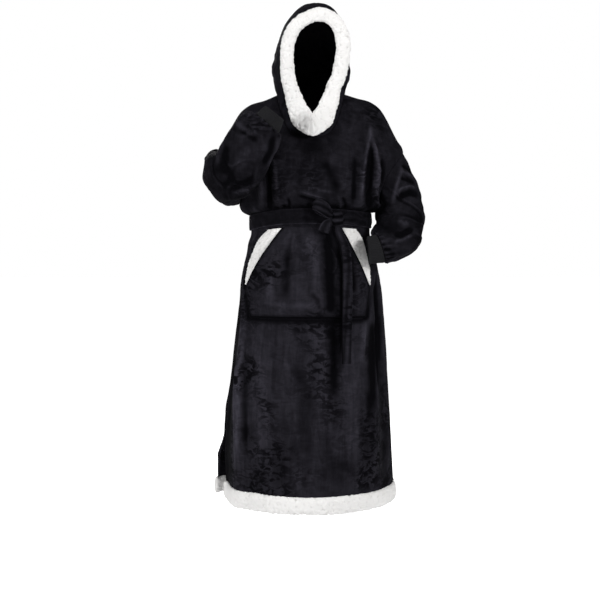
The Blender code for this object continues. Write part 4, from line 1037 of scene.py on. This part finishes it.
def hem_band(node, middle, seed):
    """The hem's band: a superellipse section carried along the panel's foot, drawn in at its two ends."""
    half = float(panel_half(np.array(HEM_ROW)))
    share = np.linspace(-1, 1, 440)
    bearing = middle + half * share
    foot = body_skin(HEM_ROW, bearing)
    out = unit(body_normals(HEM_ROW, bearing) * np.array([1.0, 1.0, 0.0]))
    from_end = (1 - np.abs(share)) * half * 0.0045
    draw = (1 - limit(1 - from_end / 0.008) ** 3) ** (1 / 3)
    a, b = pillow_section(76, HEM_HALF_HEIGHT - 0.0012, HEM_HALF_THICK - 0.0008, 2.8)
    centre = foot + out * 0.0005 - UP * (HEM_HALF_HEIGHT + SEAM_GAP)
    size = np.maximum(draw, 0.05)[:, None, None]
    section = a[None, :, None] * UP * (0.6 + 0.4 * size) + b[None, :, None] * out[:, None, :] * size
    rings = centre[:, None, :] + section
    normals = outward(rings, centre)
    pile, tuft = sherpa_pile(rings, normals, seed)
    # the curls' height is painted as shade in the partings by the sherpa finish
    return roll_piece(node, pile, SHERPA, tuft)


hem_front = hem_band("hem_trim_front", 0.0, 43)
hem_back = hem_band("hem_trim_back", 180.0, 44)


# Kangaroo pocket
# A six-sided patch of fleece, sewn down along its top, foot and lower sides, and open along its two
# slanted edges, where facings of sherpa show beside it.

POCKET_EDGE = (                # height, left edge, right edge
    (-0.3775, -0.080, 0.088),
    (-0.4600, -0.132, 0.124),
    (-0.5500, -0.183, 0.168),
    (-0.5600, -0.185, 0.170),
    (-0.6400, -0.174, 0.158),
)
FACING_EDGE = (                # height, distance from the pocket's edge to the facing's outer edge
    (-0.3785, 0.040),
    (-0.4100, 0.046),
    (-0.4500, 0.038),
    (-0.4900, 0.028),
    (-0.5250, 0.014),
    (-0.5470, 0.002),
)
PATCH_STAND = 0.0013


def row_at_height(z):
    """The body row whose front lies at a height, read between the panel's rows."""
    rows = PANEL_ROWS[PANEL_ROWS >= 10]
    return np.interp(-np.asarray(z), -body_ring(rows).z_front, rows)


def bearing_at(row, x):
    """The bearing at which the front of a body row reaches x, from the superellipse turned round."""
    ring = body_ring(row)
    reach = np.where(x < 0, -ring.x_left, ring.x_right)
    share = limit(np.abs(x) / reach) ** (ring.square / 2)
    return np.sign(x) * np.degrees(np.arcsin(share))


def on_front(x, z, lift):
    """Points over the front panel at a width and a height, moved out along its normals."""
    row = row_at_height(z)
    bearing = bearing_at(row, x)
    return moved(body_skin(row, bearing), body_normals(row, bearing), np.asarray(lift))


def pocket_edges(z):
    """The pocket's left and right edge at a height: straight runs between the table's corners."""
    heights = [-row[0] for row in POCKET_EDGE]
    return [np.interp(-z, heights, [row[k] for row in POCKET_EDGE]) for k in (1, 2)]


POCKET_CREASES = {
    "front": (
        ((-70, -420, -60, -500, -80, -600), 22, -3),
        ((-10, -380, 12, -460, 20, -600), 20, 3.6),
        ((46, -340, 54, -480, 60, -700), 28, -4.6),
        ((-120, -470, -110, -540, -120, -610), 18, 3),
        ((0, -560, 20, -590, 30, -620), 12, -3),
        ((100, -430, 120, -500, 125, -590), 16, -4),
        ((-40, -390, -50, -420, -52, -460), 9, 3),
        ((-150, -590, -60, -605, 60, -600), 12, 2),
    ),
}


# painted shadow beside the belt's long end and painted shade in troughs, laid on the pocket too
POCKET_PAINTED_SHADE = {"front": PAINTED_PANEL_SHADE["front"][1:]}


def pocket():
    """The pocket's patch with its hollow behind, its creases, and the stitched line inside its edges."""
    rows, columns = 150, 190
    z = np.linspace(POCKET_EDGE[0][0], POCKET_EDGE[-1][0], rows + 1)[:, None]
    left, right = pocket_edges(z)
    across = np.linspace(0, 1, columns + 1)[None, :]
    x = left + (right - left) * across
    down = (z - z[0]) / (z[-1] - z[0])
    slant = limit((z - POCKET_EDGE[0][0]) / (POCKET_EDGE[2][0] - POCKET_EDGE[0][0]))
    mouth = 0.012 * np.sin(np.pi * slant) ** 0.8
    hollow = 0.016 * np.sin(np.pi * down) ** 0.6
    inward = np.sin(np.pi * across) ** 0.5
    trough = 1 - 0.4 * bump(across - 0.72, 0.16) * slant
    lift = PATCH_STAND + mouth * (1 - inward) + hollow * trough * inward
    row = row_at_height(z)
    normals = body_normals(row, bearing_at(row, x))
    skin = on_front(x, z, lift)
    from_side = np.minimum(across, 1 - across) * (right - left)
    from_foot = z - z[-1]
    free = limit(from_side / 0.02) * limit(from_foot / 0.025) * limit((z[0] - z) / 0.02)
    lift = dressed(skin, normals, POCKET_CREASES, 51) * free
    edge = np.minimum(np.minimum(from_side, from_foot), 0.03)
    stitched = -0.0014 * bump(edge - 0.0085, 0.0022) - 0.0014 * limit(1 - edge / 0.0025) ** 2
    base = moved(skin, normals, lift)
    outer = moved(base, normals, FLEECE_THICK + stitched)
    # painted highlight on raised creases, painted shade in hollows, in the stitched groove and along the
    # patch's edge
    painted_fold_shading = (lift + creases(skin, normals, POCKET_PAINTED_SHADE)) * FOLD_PAINTED_SHADING + stitched * 100
    return cloth_piece("pocket", outer, base, FLEECE, relief_shading=0.38 + painted_fold_shading - 0.45 * limit(1.4 - edge / 0.006))


def pocket_facing(node, side, seed):
    """The sherpa facing that shows beside a slanted pocket edge, tapering to the edge's foot."""
    z = np.linspace(FACING_EDGE[0][0], FACING_EDGE[-1][0], 150)[:, None]
    edge = pocket_edges(z)[0 if side < 0 else 1]
    width = glide([-row[0] for row in FACING_EDGE], [row[1] for row in FACING_EDGE], -z[:, 0])[:, None]
    across = np.linspace(0, 1, 44)[None, :]
    x = edge + side * (0.0012 + width * across)
    thick = 0.0062 * (0.30 + 0.70 * np.sin(np.pi * across) ** 0.5) * np.ones_like(z)
    row = row_at_height(z)
    normals = body_normals(row, bearing_at(row, x))
    low = on_front(x, z, PATCH_STAND)
    high = on_front(x, z, PATCH_STAND + thick)
    pile, tuft = sherpa_pile(high, normals, seed, deep=0.8)
    # the curls' height is painted as shade in the partings by the sherpa finish
    return cloth_piece(node, pile, low, SHERPA, relief_shading=tuft, lining=0.5)


pocket_patch = pocket()
facing_right = pocket_facing("pocket_facing_right", -1, 53)
facing_left = pocket_facing("pocket_facing_left", 1, 54)


# Belt
# A flat tube of the same fleece, tied in front in a knot with one loop, a short end and a long end.

BELT_WIDTH, BELT_THICK, BELT_STAND = 0.045, 0.0055, 0.0005
KNOT_X, KNOT_DROP = 0.072, 0.006
KNOT_HALF = (0.017, 0.013, 0.0215)
KNOT_SIDE = KNOT_HALF[0] * (1 - np.sin(np.radians(18)) ** 3) ** (1 / 3) + SEAM_GAP
KNOT_UNDER = -KNOT_HALF[2] * np.sin(np.radians(75)) - SEAM_GAP
LONG_END = (                   # right, out, up from the knot's middle, half width, half thickness
    (0.0000, 0.0000, KNOT_UNDER, 0.0085, 0.0045),
    (-0.0006, 0.0022, -0.0310, 0.0115, 0.0050),
    (-0.0035, 0.0130, -0.0500, 0.0135, 0.0052),
    (-0.0122, 0.0326, -0.0850, 0.0145, 0.0052),
    (-0.0155, 0.0415, -0.1340, 0.0150, 0.0050),
    (-0.0153, 0.0475, -0.2040, 0.0150, 0.0048),
    (-0.0139, 0.0493, -0.2840, 0.0145, 0.0048),
    (-0.0130, 0.0486, -0.3640, 0.0145, 0.0048),
    (-0.0135, 0.0487, -0.4140, 0.0145, 0.0048),
)
SHORT_END = (
    (KNOT_SIDE, 0.0000, -0.0095, 0.0090, 0.0040),
    (0.0249, 0.0021, -0.0125, 0.0130, 0.0050),
    (0.0338, 0.0054, -0.0190, 0.0170, 0.0050),
    (0.0400, 0.0061, -0.0290, 0.0190, 0.0045),
    (0.0432, 0.0065, -0.0380, 0.0185, 0.0040),
)
LOOP = (
    (KNOT_SIDE, 0.0000, 0.0100, 0.0092, 0.0045),
    (0.0261, 0.0028, 0.0130, 0.0130, 0.0065),
    (0.0389, 0.0104, 0.0220, 0.0180, 0.0085),
    (0.0542, 0.0155, 0.0320, 0.0200, 0.0095),
    (0.0662, 0.0141, 0.0380, 0.0185, 0.0080),
    (0.0724, 0.0097, 0.0390, 0.0130, 0.0045),
)


def belt_skin(bearing, stand):
    """A point on the middle of the belt's path, and the horizontal way out there."""
    out = level_out(plain_body(BELT_ROW, bearing + 0.5) - plain_body(BELT_ROW, bearing - 0.5))
    return plain_body(BELT_ROW, bearing) + out * stand, out


def waist_belt():
    """The belt's closed band: a flat superellipse section carried round the waist, with lengthwise
    wrinkles that gather towards the knot."""
    bearing = np.linspace(-90, 270, 520, endpoint=False)
    middle, out = belt_skin(bearing, BELT_STAND + BELT_THICK / 2)
    a, b = pillow_section(56, BELT_WIDTH / 2, BELT_THICK / 2, 3.2)
    rings = sections(middle, (UP, out[:, None, :]), (a[None, :], b[None, :]))
    near = np.exp(-np.abs(signed(bearing - 28)) / 22)[:, None]
    level = a[None, :] / (BELT_WIDTH / 2)
    wrinkle = np.cos(level * 6.4 + 1.6 * np.sin(np.radians(bearing[:, None]) * 7)) * (0.0001 + 0.0010 * near)
    wrinkle = wrinkle + 0.0016 * crumple(rings * np.array([1.0, 1.0, 3.0]), 0.10, 63)
    facing = limit(b[None, :] / (BELT_THICK / 2))
    uneven = 0.0006 * wander(rings, 0.03, 61) + wrinkle
    rings = rings + out[:, None, :] * (uneven * facing)[..., None]
    rings[..., 2] += 0.0012 * wander(middle[:, None, :] + 0 * rings, 0.06, 62)
    # painted highlight along the belt's lower edge and a weaker one along its top, with painted light and
    # shade on its wrinkles
    edges = 0.48 * bump(level + 0.94, 0.13) + 0.10 * bump(level - 0.95, 0.13)
    relief_shading = 0.13 + edges + uneven * facing * 100
    return roll_piece("belt", rings, FLEECE, relief_shading, closed=True)


def belt_knot():
    """The knot: a rounded block wrapped by the belt, whose turns show as slanting rolls. Returns its object,
    its middle and the ways to the wearer's right, outwards and up."""
    bearing = bearing_at(np.array(BELT_ROW), np.array(KNOT_X))
    face, out = belt_skin(bearing, BELT_STAND + BELT_THICK + SEAM_GAP)
    side = np.cross(out, UP)
    middle = face + out * KNOT_HALF[1] - UP * KNOT_DROP
    level = np.sin(np.linspace(-np.pi / 2, np.pi / 2, 80)[1:-1])
    size = (1 - np.abs(level) ** 3.0) ** (1 / 3.0)
    a, b = pillow_section(110, 1.0, 1.0, 2.6)
    turn = np.linspace(0, 2 * np.pi, 110, endpoint=False)
    wraps = np.cos(level[:, None] * 7.0 + 1.7 * np.sin(turn)[None, :] * 0.9 + 0.9 * np.cos(turn)[None, :])
    swell = 1 + 0.085 * wraps * (b[None, :] > -0.6)
    rings = (middle + level[:, None, None] * KNOT_HALF[2] * UP
             + (size[:, None] * swell * a[None, :] * KNOT_HALF[0])[..., None] * side
             + (size[:, None] * swell * b[None, :] * KNOT_HALF[1] * 0.96)[..., None] * out)
    # painted highlight on the wrapped rolls and painted shade between them
    return roll_piece("belt_knot", rings, FLEECE, 0.19 + 0.30 * wraps), middle, np.array([side, out, UP])


def carried(stations, count, first_along, first_wide):
    """A belt end's middle line, its way along, its width's way and its sizes, at even shares of its length.
    The width starts along first_wide and is carried without twist."""
    table = np.array(stations, float)
    table[:, :3] = KNOT + table[:, :3] @ WAYS
    length = np.concatenate([[0], np.cumsum(np.linalg.norm(np.diff(table[:, :3], axis=0), axis=1))])
    read = glide(length / length[-1], table, np.linspace(0, 1, count))
    along = unit(np.gradient(read[:, :3], axis=0))
    along[0] = np.array(first_along) @ WAYS
    wide = np.zeros((count, 3))
    way = np.array(first_wide) @ WAYS
    for i in range(count):
        way = unit(way - along[i] * np.dot(way, along[i]))
        wide[i] = way
    return read[:, :3], along, wide, read[:, 3], read[:, 4]


def belt_end(node, stations, first_along, first_wide, seed, count):
    """A loose end of the belt: a flat section with two soft lengthwise folds, closed by a stitched edge."""
    middle, along, wide, half_width, half_thick = carried(stations, count, first_along, first_wide)
    thick = np.cross(along, wide)
    a, b = pillow_section(64, 1.0, 1.0, 2.8)
    drawn = 1 - 0.22 * limit((np.arange(count) - count + 5) / 4) ** 2
    folds = 0.30 * np.cos(a[None, :] * 4.6 + 0.03 * np.arange(count)[:, None]) * np.abs(b[None, :])
    folds = folds * limit(np.arange(count) / 20)[:, None]
    depth = b[None, :] * (0.86 - folds * 0.5) * (half_thick * drawn)[:, None]
    rings = sections(middle, (wide[:, None, :], thick[:, None, :]), (a * half_width[:, None], depth))
    sway = 0.0010 * wander(middle, 0.07, seed) * limit(np.arange(count) / 12)
    rings = rings + (sway[:, None] * thick)[:, None, :]
    # painted highlight along one long edge, painted shadow along the other, and painted light and shade on
    # the folds
    relief_shading = 0.26 + 0.30 * bump(a[None, :] - 0.90, 0.12) - 0.22 * bump(a[None, :] + 0.95, 0.16) + folds * 0.5
    return roll_piece(node, rings, FLEECE, relief_shading)


LOOP_STEPS = 66                # how far the band runs along the middle line before it turns round


def belt_loop(node, stations):
    """The bow's loop: a flat band that runs out from the knot on the near side of the loop's middle line,
    turns round its end and comes back on the far side."""
    middle, along, wide, half_width, half_thick = carried(stations, LOOP_STEPS + 4, (1, 0, 0), (0, 0, 1))
    thick = np.cross(along, wide)
    band = 0.0026
    gap = np.clip(half_thick - band, 0.0008, None)
    end = np.linspace(0, np.pi, 16)[1:-1]
    way_out, ones = np.arange(LOOP_STEPS), np.ones(LOOP_STEPS)
    share = np.concatenate([way_out, np.full(len(end), LOOP_STEPS), way_out[::-1]])
    aside = np.concatenate([ones, np.cos(end), -ones]) * gap[share]
    ahead = np.concatenate([0 * ones, np.sin(end), 0 * ones]) * gap[share]
    path = moved(moved(middle[share], thick[share], aside), along[share], ahead)
    run = unit(np.gradient(path, axis=0))
    across = wide[share]
    out = unit(np.cross(run, across))
    a, b = pillow_section(52, 1.0, band, 3.0)
    ridges = np.cos(a[None, :] * 6.5 + 0.05 * share[:, None])
    wrinkle = 1 + 0.40 * ridges
    sizes = a * half_width[share][:, None], b * wrinkle
    rings = sections(path, (across[:, None, :], out[:, None, :]), sizes)
    # painted highlights along both edges, and painted light and shade on the ridges
    relief_shading = 0.15 + 0.40 * bump(np.abs(a[None, :]) - 0.94, 0.13) + 0.14 * ridges
    return roll_piece(node, rings, FLEECE, relief_shading)


belt = waist_belt()
knot, KNOT, WAYS = belt_knot()
long_end = belt_end("belt_long_end", LONG_END, (0, 0, -1), (-1, 0, 0), 65, 240)
short_end = belt_end("belt_short_end", SHORT_END, (1, 0, 0), (0, 0, 1), 66, 60)
loop = belt_loop("belt_loop", LOOP)


# Studio
# A white floor and backdrop in one, under large soft lights, as in a catalogue photograph. The camera
# stands where the photograph was taken from.

def place_in_scene(name, data, place=(0.0, 0.0, 0.0), turn=(0.0, 0.0, 0.0)):
    """An object of the studio."""
    made = bpy.data.objects.new(name, data)
    made.location, made.rotation_euler = place, turn
    bpy.context.scene.collection.objects.link(made)
    return made


def strength(tree, dim, bright):
    """A strength that looks bright to the camera but lights the scene dimly."""
    seen = add_node(tree, "LightPath").outputs["Is Camera Ray"]
    return mapped(tree, seen, 0.0, 1.0, dim, bright)


FLOOR_REACH, FLOOR_Z = 30, -1.45
plane = bpy.data.meshes.new("floor")
corners = [(x * FLOOR_REACH, y * FLOOR_REACH, FLOOR_Z) for x, y in ((-1, -1), (1, -1), (1, 1), (-1, 1))]
plane.from_pydata(corners, [], [(0, 1, 2, 3)])
place_in_scene("floor", plane)
paint, tree = new_finish("pale_floor")
fill_sockets(tree, tree.nodes["Principled BSDF"], {
    "Base Color": (0.93, 0.93, 0.93, 1), "Roughness": 0.9, "Emission Color": (1, 1, 1, 1),
    "Emission Strength": strength(tree, 0.06, 0.94)})
plane.materials.append(paint)

world = bpy.data.worlds.new("studio")
world.use_nodes = True
fill_sockets(world.node_tree, world.node_tree.nodes["Background"], {
    "Color": (1.0, 1.0, 1.0, 1), "Strength": strength(world.node_tree, 0.09, 1.0)})
bpy.context.scene.world = world


def soft_light(name, place, height, size, power):
    """A square area light at a place, turned so that it shines at a height on the part's middle."""
    lamp = bpy.data.lights.new(name, "AREA")
    lamp.size, lamp.energy = size, power
    way = np.array([0.0, 0.0, height]) - place
    turn = (np.arctan2(np.hypot(way[0], way[1]), -way[2]), 0.0, np.arctan2(way[1], way[0]) - np.pi / 2)
    place_in_scene(name, lamp, place, turn)


soft_light("key", (2.6, -2.8, 0.7), -0.5, 1.1, 92.0)
soft_light("side", (-3.0, -2.1, 0.2), -0.5, 1.1, 74.0)
soft_light("top", (0.2, -0.9, 2.8), -0.2, 1.2, 34.0)
soft_light("rear", (-0.6, 3.2, 1.0), -0.5, 1.6, 80.0)

eye = bpy.data.cameras.new("camera")
eye.lens, eye.sensor_width = 84.57, 36.0
camera = place_in_scene("camera", eye, (-0.030, -4.2, -0.40), (np.radians(90 - 2.66), 0.0, 0.0))
bpy.context.scene.camera = camera
bpy.context.scene.view_settings.view_transform = "Standard"
